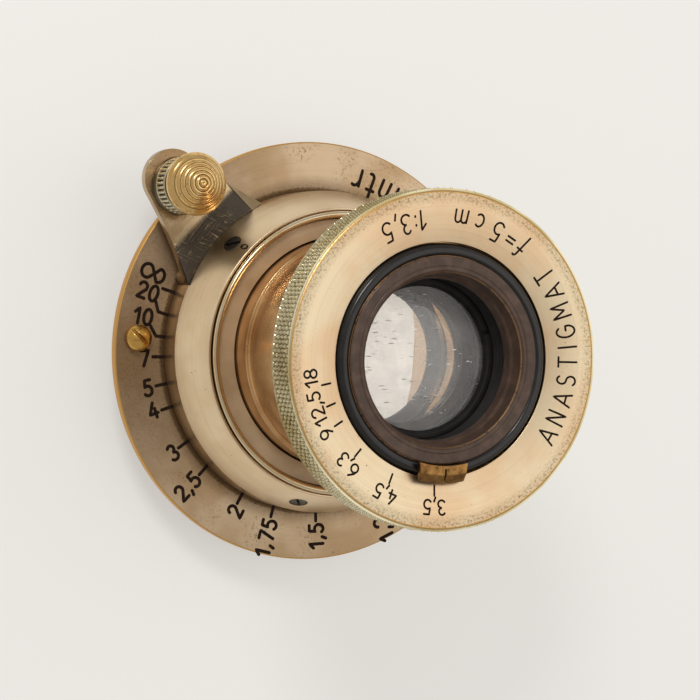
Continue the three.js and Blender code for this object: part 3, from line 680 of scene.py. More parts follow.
def domed_screw(name, material, head_r, bottom, rim, top, shank_r, shank_bottom, slot_width, slot_depth,
                slot_angle):
    sphere_r = (head_r ** 2 + (top - rim) ** 2) / (2 * (top - rim))
    dome = []
    for k in range(1, 13):
        r = head_r * (1 - k / 12)
        dome.append((r, top - sphere_r + math.sqrt(sphere_r ** 2 - r ** 2)))
    outline = [(0, shank_bottom), (shank_r, shank_bottom), (shank_r, bottom), (head_r, bottom), (head_r, rim)]
    screw = turned(name, outline + dome, material, SMALL)
    tool = slot_tool(4 * head_r, slot_width, top - slot_depth, top + 1, slot_angle)
    return bevelled(carve(screw, tool), 0.04, 35, 2)


def make_mount_fittings():
    screw = domed_screw("flange_screw_head", "screw", 1.5, 5.85, 6.75, 7.6, 0.8, 4.7, 0.46, 0.75, 139)
    finish_piece(moved(screw, at(*FLANGE_SCREW_AT)), "mount", "polished_brass", "flange_screw")
    plate = extruded("catch_plate", [(22.4, -1.1), (26.3, -1.1), (26.8, -0.6), (26.8, 1.1), (22.4, 1.1)],
                     5.85, 6.6, "brass")
    finish_piece(moved(bevelled(plate, 0.12), at(0, CATCH_ANGLE)), "mount", "turned_brass", "infinity_catch")
    rivet = domed_screw("catch_screw_head", "steel", 0.9, 6.65, 6.9, 7.35, 0.45, 5.0, 0.25, 0.3, 20)
    finish_piece(moved(rivet, at(23.4, CATCH_ANGLE)), "mount", "steel", "catch_screw")


# Focusing mount ------------------------------------------------------------------------------------------


def on_cone(angle):
    """Placement with +Z along the focus ring's outward normal at the screws' height."""
    run, rise = SKIRT_R - CONE_TOP_R, CONE_TOP - CONE_BASE
    radius = CONE_TOP_R + run * (CONE_TOP - RING_SCREW_Z) / rise
    tilt = Matrix.Rotation(math.atan2(rise, run), 4, "Y")
    return at(radius, angle) @ Matrix.Translation((0, 0, RING_SCREW_Z)) @ tilt


def make_focus_ring():
    outline = rounded([
        (18.4, SKIRT_BOTTOM), (SKIRT_R, SKIRT_BOTTOM), (SKIRT_R, CONE_BASE - 0.1, 0.25),
        (CONE_TOP_R, CONE_TOP, 0.12), (16.5, CONE_TOP, 0.03), (16.5, 13.9), (15.55, 13.9), (15.55, 9.1),
        (18.4, 9.1),
    ])
    cone = turned("focus_cone", outline, "focus")
    for angle in RING_SCREWS:
        carve(cone, moved(hole_tool(1.08, -1.4, 1, 32), on_cone(angle)))
    finish_piece(cone, "focus_mount", "satin_nickel", "focus_ring")
    outline = rounded([(0, -1.3, 0), (0.98, -1.3), (0.98, -0.05), (0, -0.05, 0)], 0.05, 3, False)
    for i, angle in enumerate(RING_SCREWS):
        screw = turned(f"ring_screw_head_{i + 1}", outline, "steel", 48)
        carve(screw, slot_tool(3, 0.3, -0.5, 1, 35))
        finish_piece(moved(screw, on_cone(angle)), "focus_mount", "steel", f"ring_screw_{i + 1}")


def make_sleeves():
    lip = rounded([(15.6, 13.95), (16.36, 13.95), (16.36, LIP_TOP, 0.4), (15.6, LIP_TOP, 0.4)], 0.05, 6)
    finish_piece(turned("bright_lip", lip, "lip"), "focus_mount", "satin_nickel", "lip_ring")
    guide = ring("tube_guide", 13.5, 15.5, 13.7, 14.3, "guide", 0.05)
    finish_piece(guide, "focus_mount", "satin_nickel", "guide_ring")
    felt = ring("friction_felt", 13.4, 14.1, 8.5, 12.0, "felt", 0.15)
    finish_piece(felt, "focus_mount", "felt", "felt_band")
    stop = ring("tube_stop", 13.45, 14.15, 7.6, 8.4, "brass")
    finish_piece(stop, "focus_mount", "turned_brass", "bayonet_ring")
    sleeve = ring("inner_thread_sleeve", 14.25, 15.45, 1.2, 13.6, "brass")
    finish_piece(sleeve, "helicoid", "turned_brass", "inner_helicoid")


# Lever and lock ------------------------------------------------------------------------------------------


def curve_points(start, control, end, count=12):
    a, b, c = Vector(start), Vector(control), Vector(end)
    return [tuple(a.lerp(b, t).lerp(b.lerp(c, t), t)) for t in (k / count for k in range(1, count))]


def side_facet(start, fall):
    """A tool that bevels the lever's right side, following the slope's own fall along the arm."""
    corners = []
    for u in (16.5, 24.5):
        z = LEVER_TOP + 0.153 * (22.1 - u)
        corners += [(u, start, z), (u, start - 4, z - fall), (u, start - 4, 16), (u, start, 16)]
    faces = [(0, 1, 2, 3), (7, 6, 5, 4)] + [(k, (k + 1) % 4, (k + 1) % 4 + 4, k + 4) for k in range(4)]
    return object_from("tool", corners, faces, "steel")


def make_lever():
    root = arc_points(0, 0, LEVER_ROOT_R, 22.2, -19.4, 24)
    tip = arc_points(LEVER_TIP_AT, 0, LEVER_TIP_R, -77, 77, 48)
    outline = root + curve_points(root[-1], (21.9, -4.6), tip[0])
    outline += tip + curve_points(tip[-1], (21.9, 4.8), root[0])
    lever = extruded("lever", outline, SKIRT_BOTTOM + 0.25, LEVER_ROOT_TOP, "lever")
    below = turned("tool", ring_outline(LEVER_ROOT_R + 0.75, 40, 2, LEVER_BOTTOM), "steel")
    carve(lever, below)
    slope = [(17.2, LEVER_ROOT_TOP + 0.05), (22.1, LEVER_TOP), (40, LEVER_TOP), (40, 12), (17.2, 12)]
    above = extruded("tool", slope, -12, 12, "steel")
    above.data.transform(Matrix.Rotation(math.pi / 2, 4, "X"))
    carve(lever, above)
    carve(lever, side_facet(-4.5, 2.4))
    carve(lever, moved(hole_tool(1.7, 5, 12), at(KNOB_RADIUS, 0)))
    bevelled(lever, 0.2, 24)
    finish_piece(moved(lever, at(0, LEVER_ANGLE)), "focus_mount", "satin_nickel", "lever_arm")


def make_knob():
    low, high = 10.25, COLLAR_TOP - 0.12
    outline = rounded([
        (1.7, 9.9), (1.7, 9.05), (COLLAR_R + 0.05, 9.05, 0.05), (COLLAR_R + 0.05, 9.95, 0.12),
        (COLLAR_R - 0.22, 10.08),
    ], 0.05, 3, False)
    outline += dense((COLLAR_R, low - 0.05), (COLLAR_R, high), 24)
    outline += rounded([(COLLAR_R, high), (COLLAR_R - 0.15, COLLAR_TOP), (2.75, COLLAR_TOP), (2.75, 9.9)],
                       0.05, 3, False)
    relief = straight_relief(low, high, COLLAR_R, COLLAR_TEETH, 0.3)
    collar = turned("knurled_collar", outline, "collar", COLLAR_TEETH * 12, relief)
    # The collar's foot, below its teeth, takes a darker copy of its plating.
    repaint(collar, "collar_base", lambda radius, z: z < low - 0.1)
    finish_piece(moved(collar, ON_KNOB), "focus_mount", "satin_nickel", "knob_collar")

    nut = extruded("hex_nut", arc_points(0, 0, 2.0, 0, 300, 5), 7.0, 7.8, "steel")
    bevelled(carve(nut, hole_tool(1.6, 6, 9)), 0.08)
    finish_piece(moved(nut, ON_KNOB), "focus_mount", "steel", "collar_nut")


def make_cap():
    """Mushroom cap: a plain rim, then concentric ridges up a low cone to a small point."""
    rim_top = CAP_BOTTOM + 0.55
    foot, top = rim_top + 0.62, CAP_TOP - 0.12
    ridge_height, steps_per_ridge = 0.13, 12
    socket_r, socket_top = 1.45, 14.95
    outline = [(0, socket_top), (socket_r, socket_top), (socket_r, CAP_BOTTOM)]
    outline += rounded([
        (socket_r, CAP_BOTTOM), (CAP_R - 0.15, CAP_BOTTOM, 0.1), (CAP_R, rim_top, 0.3),
        (3.2, rim_top + 0.42, 0.3), (CAP_RIDGED_R, foot),
    ], 0.1, 6, False)[1:-1]
    total = CAP_RIDGES * steps_per_ridge
    for k in range(total - 1):
        t = k / total
        base = foot + (top - foot) * math.sin(t * math.pi / 2) ** 0.95
        ridge = ridge_height * abs(math.sin(math.pi * t * CAP_RIDGES)) ** 0.75
        outline.append((CAP_RIDGED_R * (1 - t), base + ridge))
    outline.append((0, CAP_TOP))
    cap = turned("ridged_cap", outline, "cap", MEDIUM, sharp=50)
    finish_piece(moved(cap, ON_KNOB), "lock_button", "polished_brass", "button_cap")
    stem = [(0, 5.9, 0), (0.75, 5.9), (0.75, 6.9), (1.35, 6.9), (1.35, 14.85), (0, 14.85, 0)]
    stem = turned("lock_plunger", rounded(stem, 0.06, 3, False), "steel", SMALL)
    finish_piece(moved(stem, ON_KNOB), "lock_button", "steel", "plunger")


def make_spring():
    turns, radius, bottom, top = 3.5, 2.2, 10.2, 13.55
    curve = bpy.data.curves.new("coil", "CURVE")
    curve.dimensions = "3D"
    curve.bevel_depth = 0.2 * MM
    curve.bevel_resolution = 3
    curve.use_fill_caps = True
    steps = 140
    spline = curve.splines.new("POLY")
    spline.points.add(steps)
    for k in range(steps + 1):
        angle = 360 * turns * k / steps
        z = bottom + (top - bottom) * k / steps
        place = Vector((*polar(radius, angle), z)) * MM
        spline.points[k].co = (*place, 1)
    source = linked("coil_source", curve)
    mesh = bpy.data.meshes.new_from_object(source.evaluated_get(bpy.context.evaluated_depsgraph_get()))
    bpy.data.objects.remove(source)
    mesh.materials.clear()
    mesh.materials.append(MATERIAL["steel"])
    soften(mesh, 40)
    spring = linked("coil_spring", mesh)
    finish_piece(moved(spring, ON_KNOB), "focus_mount", "steel", "lock_spring")
    place = Vector((KNOB_AXIS.x, KNOB_AXIS.y, bottom)) * MM
    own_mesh(spring)


# Tube ----------------------------------------------------------------------------------------------------


def make_tube():
    outline = rounded([
        (TUBE_BORE_R, TUBE_BOTTOM), (TUBE_COLLAR_R, TUBE_BOTTOM, 0.15),
        (TUBE_COLLAR_R, TUBE_COLLAR_TOP, 0.08), (TUBE_R + 0.12, TUBE_COLLAR_TOP + 0.06, 0.03),
        (TUBE_R, TUBE_COLLAR_TOP + 0.2, 0.03), (TUBE_R, TUBE_TOP), (TUBE_BORE_R, TUBE_TOP),
    ])
    finish_piece(turned("sliding_tube", outline, "tube"), "barrel", "tube_nickel", "barrel_tube")
    for i in range(3):
        outer = arc_points(0, 0, 14.0, -10, 10, 12)
        inner = arc_points(0, 0, TUBE_COLLAR_R + 0.02, 10, -10, 12)
        lug = bevelled(extruded(f"lug_{i + 1}", outer + inner, 6.2, 7.4, "brass"), 0.1)
        finish_piece(moved(lug, at(0, 60 + 120 * i)), "barrel", "turned_brass", f"bayonet_lug_{i + 1}")


# Head ----------------------------------------------------------------------------------------------------


def face_height(radius):
    """Height of the dished front face at a radius."""
    if radius >= FACE_FLAT_R:
        return FRONT
    fall = (FRONT - FACE_INNER_Z) * (FACE_FLAT_R - radius) / (FACE_FLAT_R - FACE_INNER_R)
    return FRONT - fall


def make_head():
    low, high = HEAD_BOTTOM + 0.12, FRONT - 0.1
    outline = rounded([
        (13.0, TUBE_TOP + 0.1), (13.0, HEAD_BOTTOM), (KNURL_R - 0.35, HEAD_BOTTOM, 0.1),
        (KNURL_R, low - 0.02, 0.05),
    ], 0.06, 3, False)
    outline += dense((KNURL_R, low), (KNURL_R, high), 62)
    outline += rounded([
        (KNURL_R, high), (17.86, high + 0.03, 0.02), (17.74, FRONT, 0.04), (17.4, FRONT, 0.1),
        (FACE_FLAT_R, FRONT, 2.6), (FACE_INNER_R, FACE_INNER_Z, 0.06), (FACE_INNER_R, TUBE_TOP + 0.1),
        (13.0, TUBE_TOP + 0.1),
    ], 0.05, 4, False)[:-1]
    relief = diamond_relief(low, high, KNURL_R, KNURL_PITCH, KNURL_DEPTH)
    sides = 12 * round(2 * math.pi * KNURL_R / KNURL_PITCH)
    head = turned("engraved_head", outline, "face", sides, relief, sharp=24)
    repaint(head, "knurl", lambda radius, z: radius > 17.45 and HEAD_BOTTOM - 0.05 < z < high + 0.02)
    finish_piece(head, "barrel", "satin_nickel", "head_ring")


def make_aperture_ring():
    """Black convex band outside, brown sloped face inside, and the skirt down into the tube."""
    outline = rounded([
        (10.25, 33.0), (11.9, 33.0), (11.9, 38.6), (12.35, 38.6), (12.35, 39.35, 0.3), (11.95, 39.92, 0.5),
        (11.35, 39.98, 0.4), (10.98, 39.72, 0.05), (10.98, 40.02, 0.03), (10.86, 40.1, 0.05),
        (10.0, 40.1, 0.05), (9.9, 40.04, 0.02), (9.8, 40.1, 0.02), (9.5, 40.1, 0.1), (9.22, 39.8, 0.1),
        (9.0, 38.6, 0.1), (8.75, 38.3, 0.1), (8.6, 37.3, 0.1), (8.85, 36.75), (10.25, 36.75),
    ], 0.05, 4)
    band = turned("aperture_band", outline, "black", sharp=30)
    repaint(band, "brown", lambda radius, z: radius < 10.93)
    finish_piece(band, "aperture_control", "black_lacquer", "aperture_ring")


def make_tab():
    half, taper = TAB_ARC / 2, 3.0
    outline = arc_points(0, 0, 11.1, half, -half, 20)
    outline += arc_points(0, 0, 13.0, taper - half, half - taper, 20)
    tab = extruded("index_tab", outline, 40.2, 40.95, "tab")
    slope = turned("tool", [(12.1, 40.96), (13.3, 40.3), (13.6, 42), (12.1, 42)], "steel")
    carve(tab, slope)
    mark = slot_tool(1.7, 0.16, 40.5, 41.5)
    carve(tab, moved(mark, at(12.3, 1.2)))
    bevelled(tab, 0.05, 25, 2)
    finish_piece(moved(tab, at(0, TAB_ANGLE)), "aperture_control", "polished_brass", "aperture_tab")
    pin = rounded([(0, 31.95, 0), (0.4, 31.95), (0.4, 34.1), (0, 34.1, 0)], 0.05, 3, False)
    pin = turned("linking_pin", pin, "steel", 32)
    finish_piece(moved(pin, at(11.05, 30)), "aperture_control", "steel", "drive_pin")


# Diaphragm and cells -------------------------------------------------------------------------------------


def grooved(start, end, depth, pitch):
    """A bore wall from start to end with fine grooves across it, as anti-reflection turning."""
    a, b = Vector(start), Vector(end)
    count = max(1, round((b - a).length / pitch))
    side = Vector((a.y - b.y, b.x - a.x)).normalized() * depth
    points = []
    for k in range(count):
        points.append((*a.lerp(b, k / count), 0))
        points.append((*(a.lerp(b, (k + 0.5) / count) + side), 0))
    return points + [(*b, 0)]


def make_diaphragm():
    housing = rounded([
        (8.6, 19.5), (9.4, 19.5), (9.4, 25.8), (10.6, 27.0), (12.0, 27.0), (12.0, 32.0), (11.55, 32.0),
        (11.55, IRIS_SEAT), (6.4, IRIS_SEAT), (6.4, 29.4), (7.25, 29.4), (7.25, 26.85), (8.6, 26.85),
    ])
    finish_piece(turned("lens_housing_body", housing, "brown"), "barrel", "brown_lacquer", "lens_housing")
    cover = ring("blade_cover", 8.45, 12.0, 32.05, 32.65, "inner", 0.05)
    path = arc_points(0, 0, 11.65, -53, 36, 40) + arc_points(0, 0, 10.45, 36, -53, 40)
    carve(cover, extruded("tool", path, 31, 34, "inner"))
    finish_piece(cover, "barrel", "black_lacquer", "iris_cover")
    plate = ring("blade_driver", 7.7, 11.45, 31.3, 31.9, "steel", 0.05)
    for i in range(6):
        carve(plate, moved(slot_tool(1.6, 0.6, 30.5, 32.5), at(8.85, 60 * i - BLADE_SPAN)))
    finish_piece(plate, "aperture_control", "steel", "iris_actuator")
    end = polar(BLADE_PIVOT_R, -BLADE_SPAN)
    outline = arc_points(0, 0, BLADE_PIVOT_R - BLADE_HALF_WIDTH, 0, -BLADE_SPAN, 64)
    outline += arc_points(*end, BLADE_HALF_WIDTH, 180 - BLADE_SPAN, 360 - BLADE_SPAN, 16)[1:]
    outline += arc_points(0, 0, BLADE_PIVOT_R + BLADE_HALF_WIDTH, -BLADE_SPAN, 0, 64)[1:]
    outline += arc_points(BLADE_PIVOT_R, 0, BLADE_HALF_WIDTH, 0, 180, 16)[1:-1]
    for i in range(6):
        bottom = 30.1 + 0.18 * i
        blade = extruded(f"leaf_{i + 1}", outline, bottom, bottom + 0.12, "blade")
        finish_piece(moved(blade, at(0, 60 * i)), f"blade_{i + 1}", "steel", f"iris_blade_{i + 1}")


def make_cells():
    cell = [(7.8, 32.1), (8.35, 32.1), (8.35, 32.75), (10.1, 32.75), (10.1, 36.6), (9.2, 36.6)]
    cell = rounded(cell, 0.05)[:-1] + grooved((9.15, 36.5), (8.7, 34.75), 0.12, 0.35)
    cell += [(8.7, 33.75), (8.25, 33.75), (8.25, 32.85), (7.8, 32.85)]
    finish_piece(turned("front_cell_body", cell, "inner", sharp=20), "barrel", "black_lacquer", "front_cell")
    retainer = rounded([(7.75, 33.95), (8.65, 33.95), (8.65, 34.6), (8.1, 34.6, 0.2)], 0.05)
    retainer = turned("front_retainer", retainer, "inner")
    for angle in (20, 200):
        carve(retainer, moved(slot_tool(1.2, 0.5, 34.25, 35), at(8.3, angle)))
    finish_piece(retainer, "barrel", "black_lacquer", "front_retaining_ring")
    spacer = ring("glass_spacer", 6.8, 8.5, 26.3, 26.8, "inner")
    finish_piece(spacer, "barrel", "black_lacquer", "element_spacer")
    rear = rounded([(7.65, 19.8), (8.5, 19.8), (8.5, 26.2), (7.1, 26.2), (7.1, 25.9), (7.65, 25.9)], 0.05)
    finish_piece(turned("rear_cell_body", rear, "brown"), "collapse_slide", "brown_lacquer", "rear_cell")
    keeper = ring("rear_retainer", 6.6, 7.6, 20.7, 21.4, "inner")
    for angle in (50, 230):
        carve(keeper, moved(slot_tool(1.4, 0.5, 20, 21.0), at(7.1, angle)))
    finish_piece(keeper, "collapse_slide", "black_lacquer", "rear_retaining_ring")


def sphere_cap(radius, edge, sag, steps=14):
    sphere_r = (radius ** 2 + sag ** 2) / (2 * abs(sag))
    depth = math.sqrt(sphere_r ** 2 - radius ** 2)
    points = []
    for k in range(steps + 1):
        r = radius * (1 - k / steps)
        points.append((r, edge + math.copysign(math.sqrt(sphere_r ** 2 - r ** 2) - depth, sag)))
    return points


def make_glass():
    rows = (
        ("front_glass", "front_element", "barrel", "glass", 8.2, 32.9, 0.15, 33.6, 1.6),
        ("second_glass", "second_element", "barrel", "glass", 7.2, 26.95, 0.6, 29.25, -0.5),
        ("third_glass", "doublet_front", "collapse_slide", "rear_glass", 7.6, 23.0, 1.3, 25.75, -0.3),
        ("fourth_glass", "doublet_back", "collapse_slide", "rear_glass", 7.6, 22.0, -1.4, 22.94, 1.3),
    )
    for name, node, body, material, radius, back, back_sag, front, front_sag in rows:
        outline = list(reversed(sphere_cap(radius, back, back_sag))) + sphere_cap(radius, front, front_sag)
        finish_piece(turned(name, outline, material, MEDIUM, sharp=40), body, "optical_glass", node)


# Engraving -----------------------------------------------------------------------------------------------


# Each character is its width and its strokes, on a cap height of 1.
GLYPHS = {
    "0": (0.6, [loop(0.3, 0.5, 0.27, 0.5)]),
    "1": (0.42, [[(0.02, 0.7), (0.3, 1.0), (0.3, 0.0)]]),
    "2": (0.6, [loop(0.3, 0.72, 0.26, 0.28, 165, -35, 14) + [(0.03, 0.0), (0.58, 0.0)]]),
    "3": (0.58, [loop(0.27, 0.76, 0.22, 0.24, 150, -90, 14) + loop(0.27, 0.26, 0.27, 0.26, 90, -150, 14)]),
    "4": (0.62, [[(0.44, 0.0), (0.44, 0.62)], [(0.4, 1.0), (0.03, 0.28), (0.6, 0.28)]]),
    "5": (0.58, [[(0.52, 1.0), (0.14, 1.0), (0.09, 0.55)] + loop(0.26, 0.31, 0.28, 0.31, 118, -145, 16)]),
    "6": (0.6, [loop(0.3, 0.3, 0.27, 0.3, 0, 360, 22), [(0.05, 0.4), (0.14, 0.66), (0.42, 1.0)]]),
    "7": (0.58, [[(0.03, 1.0), (0.55, 1.0), (0.2, 0.0)]]),
    "8": (0.6, [loop(0.3, 0.76, 0.22, 0.24), loop(0.3, 0.26, 0.27, 0.26)]),
    "9": (0.6, [loop(0.3, 0.7, 0.27, 0.3, 0, 360, 22), [(0.55, 0.6), (0.46, 0.34), (0.18, 0.0)]]),
    ",": (0.22, [[(0.14, 0.1), (0.02, -0.2)]]),
    ":": (0.22, [[(0.1, 0.2), (0.1, 0.26)], [(0.1, 0.66), (0.1, 0.72)]]),
    "=": (0.62, [[(0.05, 0.38), (0.55, 0.38)], [(0.05, 0.62), (0.55, 0.62)]]),
    "f": (0.46, [loop(0.42, 0.84, 0.14, 0.16, 60, 175, 8) + [(0.16, -0.22)], [(0.06, 0.58), (0.44, 0.58)]]),
    "c": (0.5, [loop(0.28, 0.32, 0.25, 0.32, 50, 310, 16)]),
    "m": (0.86, [
        [(0.06, 0.0), (0.06, 0.64)],
        [(0.06, 0.45)] + loop(0.24, 0.45, 0.18, 0.2, 160, 0, 8) + [(0.42, 0.0)],
        [(0.42, 0.45)] + loop(0.6, 0.45, 0.18, 0.2, 160, 0, 8) + [(0.78, 0.0)],
    ]),
    "t": (0.42, [[(0.16, 0.92), (0.16, 0.16)] + loop(0.3, 0.14, 0.14, 0.14, 190, 290, 6),
                 [(0.0, 0.62), (0.36, 0.62)]]),
    "r": (0.44, [[(0.08, 0.0), (0.08, 0.64)], [(0.08, 0.4)] + loop(0.3, 0.4, 0.2, 0.24, 150, 60, 6)]),
    "A": (0.7, [[(0.02, 0.0), (0.35, 1.0), (0.68, 0.0)], [(0.13, 0.32), (0.57, 0.32)]]),
    "N": (0.7, [[(0.06, 0.0), (0.06, 1.0), (0.62, 0.0), (0.62, 1.0)]]),
    "S": (0.6, [loop(0.3, 0.75, 0.23, 0.25, 35, 270, 14) + loop(0.3, 0.25, 0.25, 0.25, 90, -145, 14)]),
    "T": (0.64, [[(0.02, 1.0), (0.62, 1.0)], [(0.32, 1.0), (0.32, 0.0)]]),
    "I": (0.2, [[(0.1, 0.0), (0.1, 1.0)]]),
    "G": (0.72, [loop(0.38, 0.5, 0.33, 0.5, 45, 335, 20) + [(0.68, 0.48), (0.42, 0.48)]]),
    "M": (0.82, [[(0.06, 0.0), (0.06, 1.0), (0.41, 0.3), (0.76, 1.0), (0.76, 0.0)]]),
    "~": (1.1, [loop(0.28, 0.3, 0.26, 0.3, 45, 315, 16) + [(0.83, 0.6)]
                + loop(0.83, 0.3, 0.26, 0.3, 90, -90, 12) + [(0.46, 0.51)]]),
}
LETTER_GAP = 0.2


def text_width(text, gap=LETTER_GAP):
    return sum(GLYPHS[c][0] for c in text) + gap * (len(text) - 1)


def text_strokes(text, height, gap=LETTER_GAP):
    """Strokes of a line of text centred on x = 0, with its baseline on y = 0."""
    pen = -text_width(text, gap) / 2
    strokes = []
    for character in text:
        width, parts = GLYPHS[character]
        strokes += [[((pen + x) * height, y * height) for x, y in part] for part in parts]
        pen += width + gap
    return strokes


def on_arc(strokes, radius, angle, outward):
    """Wraps strokes round the axis: tops outwards and clockwise, or tops inwards and counter-clockwise."""
    side = -1 if outward else 1
    return [[polar(radius - side * y, angle + side * math.degrees(x / radius)) for x, y in stroke]
            for stroke in strokes]


def on_radius(strokes, radius, angle):
    """Lays strokes along a radius, reading from the rim inwards."""
    along = Vector(polar(-1, angle))
    up = Vector((-along.y, along.x))
    origin = -along * radius
    return [[tuple(origin + along * x + up * y) for x, y in stroke] for stroke in strokes]


def polar_line(*places):
    """A stroke through places given as radius and angle."""
    return [polar(*place) for place in places]


def resampled(stroke, step=0.12):
    points = [Vector(stroke[0])]
    for a, b in zip(stroke, stroke[1:]):
        a, b = Vector(a), Vector(b)
        count = max(1, math.ceil((b - a).length / step))
        points += [a.lerp(b, k / count) for k in range(1, count + 1)]
    return points


def inlay(name, strokes, width, height_at, material, proud=0.008, depth=0.05):
    """Filled engraving: a thin rounded ribbon along each stroke, sunk in the surface."""
    vertices, faces = [], []
    for stroke in strokes:
        points = resampled(stroke)
        if len(points) < 2:
            continue
        section = []
        first_dir = (points[1] - points[0]).normalized()
        last_dir = (points[-1] - points[-2]).normalized()
        half = width / 2
        stations = [(points[0] - first_dir * half * 0.8, 0.35), (points[0] - first_dir * half * 0.45, 0.8)]
        stations += [(p, 1.0) for p in points]
        stations += [(points[-1] + last_dir * half * 0.45, 0.8), (points[-1] + last_dir * half * 0.8, 0.35)]
        places = [p for p, _ in stations]
        for i, (place, size) in enumerate(stations):
            heading = (places[min(i + 1, len(places) - 1)] - places[max(i - 1, 0)]).normalized()
            side = Vector((-heading.y, heading.x)) * half * size
            row = []
            for across, up in ((-1, -depth), (1, -depth), (1, proud * 0.3), (0, proud), (-1, proud * 0.3)):
                spot = place + side * across
                row.append(len(vertices))
                vertices.append((spot.x, spot.y, height_at(spot.length) + up))
            section.append(row)
        for a, b in zip(section, section[1:]):
            faces += [(a[k], a[(k + 1) % 5], b[(k + 1) % 5], b[k]) for k in range(5)]
        faces += [tuple(reversed(section[0])), tuple(section[-1])]
    return object_from(name, vertices, faces, material, 60)


# Each distance mark: its figures, their angle, where its line starts beside them (with a bend on the
# crowded ones), and the angle at which the line meets the focus ring.
DISTANCES = (
    ("20", 161.8, ((20.75, 163.7), (20.1, 167.0)), 167.3),
    ("10", 169.4, ((20.75, 171.8), (19.91, 175.0)), 175.1),
    ("7", 182.3, ((20.2, 181.9),), 182.1), ("5", 191.6, ((20.2, 191.5),), 191.5),
    ("4", 198.9, ((20.25, 199.7),), 199.9), ("3", 213.8, ((20.35, 213.6),), 213.6),
    ("2,5", 225.0, ((20.35, 225.2),), 225.1), ("2", 242.6, ((20.3, 242.0),), 242.1),
    ("1,75", 255.3, ((20.3, 255.1),), 255.1), ("1,5", 271.8, ((20.3, 271.7),), 271.7),
    ("1,25", 294.0, ((20.3, 294.0),), 294.0), ("1", 330.0, ((20.3, 330.0),), 330.0),
)
# Each aperture mark: its figures, the angle of its line, and the angle of the figures.
APERTURES = (
    ("3,5", 266.1, 266.1), ("4,5", 244.0, 244.0), ("6,3", 224.2, 224.2), ("9", 208.4, 209.0),
    ("12,5", 199.5, 198.7), ("18", 190.3, 186.8),
)
FOCAL_LENGTH = (("f", 53.0), ("=", 59.0), ("5", 66.0), ("c", 75.0), ("m", 83.5))
WIDEST_STOP = (("1", 100.8), (":", 104.0), ("3", 108.4), (",", 112.6), ("5", 117.2))
DISTANCE_LINE_END_R = 18.6
FACE_TEXT_R, FACE_TEXT_HEIGHT = 15.95, 2.05


def make_flange_engraving():
    """The distance scale. Its infinity sign is the glyph "~"."""
    height = 1.8

    def centred(text, size):
        return [[(x, y - size / 2) for x, y in stroke] for stroke in text_strokes(text, size)]

    strokes = [polar_line((20.4, 159.3), (DISTANCE_LINE_END_R, 159.0))]
    strokes += on_radius([[(x, y + 0.55) for x, y in s] for s in centred("~", 2.7)], 22.15, 156.1)
    for text, angle, start, end in DISTANCES:
        strokes.append(polar_line(*start, (DISTANCE_LINE_END_R, end)))
        strokes += on_radius(centred(text, height), 20.65 + text_width(text) * height / 2, angle)
    for character, angle in (("m", 63.4), ("t", 69.8), ("r", 75.0)):
        strokes += on_arc(text_strokes(character, 3.1), 22.5, angle, False)
    marks = inlay("distance_scale", strokes, 0.4, lambda radius: FLANGE_FRONT, "flange_ink")
    finish_piece(marks, "mount", "black_lacquer")


def make_focus_mark():
    """The small 0 by the lip, on the lever's side of the cone."""
    angle = 135.3
    fall = (CONE_TOP - CONE_BASE) / (SKIRT_R - CONE_TOP_R)
    marks = inlay("focus_zero", on_radius([loop(0, 0, 0.17, 0.33)], 17.15, angle), 0.12,
                  lambda radius: CONE_TOP - (radius - CONE_TOP_R) * fall, "ink", 0.05, 0.1)
    finish_piece(marks, "focus_mount", "black_lacquer")


def make_face_engraving():
    strokes = []
    for text, line, figures in APERTURES:
        strokes.append(polar_line((13.25, line), (14.35, line)))
        strokes += on_arc(text_strokes(text, 1.52, 0.13), 14.8, figures, True)
    for character, angle in FOCAL_LENGTH + WIDEST_STOP:
        strokes += on_arc(text_strokes(character, FACE_TEXT_HEIGHT), FACE_TEXT_R, angle, False)
    strokes += on_arc(text_strokes("ANASTIGMAT", FACE_TEXT_HEIGHT, 0.42), FACE_TEXT_R, 2.0, False)
    marks = inlay("face_engraving", strokes, 0.23, face_height, "ink")
    finish_piece(marks, "barrel", "black_lacquer")


# Stage and light -----------------------------------------------------------------------------------------


FLOOR_TONE = (0.5, 0.495, 0.48)
FLOOR_GLOW, OPENING_GLOW = 0.5, 1.5
WORLD_LIGHT = 0.56


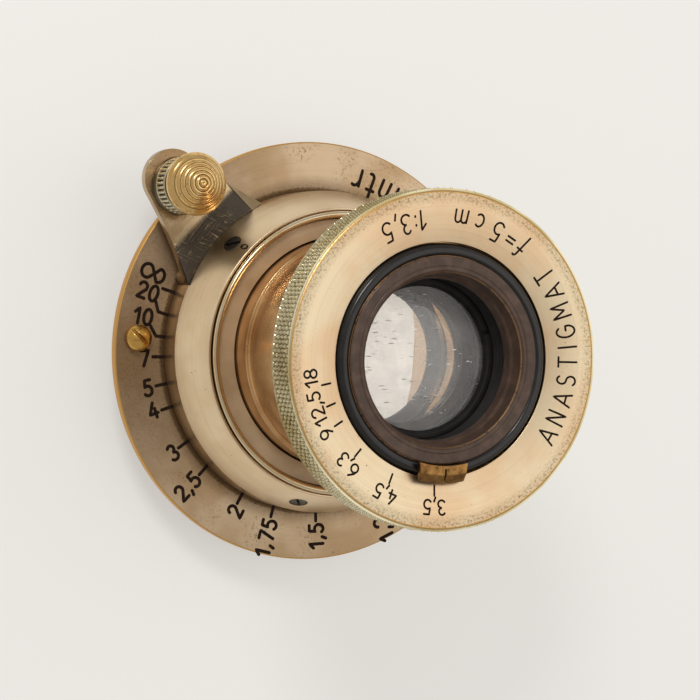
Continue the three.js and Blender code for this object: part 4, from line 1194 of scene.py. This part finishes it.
def glowing(name, colour, strength):
    material = bpy.data.materials.new(name)
    material.use_nodes = True
    shader = material.node_tree.nodes["Principled BSDF"]
    shader.inputs["Base Color"].default_value = (*FLOOR_TONE, 1)
    shader.inputs["Roughness"].default_value = 0.8
    shader.inputs["Emission Color"].default_value = (*colour, 1)
    shader.inputs["Emission Strength"].default_value = strength
    return material


def make_stage():
    """A pale floor, and a brighter glowing disc under the rear opening, painted light where the lens shades
    the floor, that shows through the glass.
    """
    half = 600
    mesh = bpy.data.meshes.new("floor")
    corners = [(-half, -half, 0), (half, -half, 0), (half, half, 0), (-half, half, 0)]
    mesh.from_pydata([tuple(Vector(c) * MM) for c in corners], [], [(0, 1, 2, 3)])
    mesh.materials.append(glowing("pale_floor", linear(238, 236, 231), FLOOR_GLOW))
    linked("floor", mesh)
    disc = turned("floor_light", [(0, 0.02), (15.5, 0.02), (15.5, 0.05), (0, 0.05)], "steel", MEDIUM)
    disc.data.materials.clear()
    disc.data.materials.append(glowing("rear_opening_glow", linear(238, 235, 231), OPENING_GLOW))


def area_light(name, place, target, size, power, colour):
    data = bpy.data.lights.new(name, "AREA")
    data.shape = "RECTANGLE"
    data.size, data.size_y = size[0] * MM, size[1] * MM
    data.energy = power
    data.color = colour
    light = linked(name, data)
    light.location = Vector(place) * MM
    light.rotation_mode = "QUATERNION"
    light.rotation_quaternion = (Vector(target) - Vector(place)).to_track_quat("-Z", "Y")


def make_light():
    world = bpy.data.worlds.new("studio")
    world.use_nodes = True
    background = world.node_tree.nodes["Background"]
    background.inputs["Strength"].default_value = WORLD_LIGHT
    background.inputs["Color"].default_value = (*linear(240, 238, 234), 1)
    bpy.context.scene.world = world
    area_light("softbox", (240, 30, 410), (0, 0, 25), (420, 400), 0.42, (1, 0.985, 0.96))
    area_light("key", (-160, 260, 330), (0, 0, 25), (110, 110), 0.6, (1, 0.99, 0.97))


make_mount()
make_mount_fittings()
make_focus_ring()
make_sleeves()
make_lever()
make_knob()
make_cap()
make_spring()
make_tube()
make_head()
make_aperture_ring()
make_tab()
make_diaphragm()
make_cells()
make_glass()
make_flange_engraving()
make_focus_mark()
make_face_engraving()
make_stage()
make_light()

bpy.context.scene.view_settings.view_transform = "Standard"
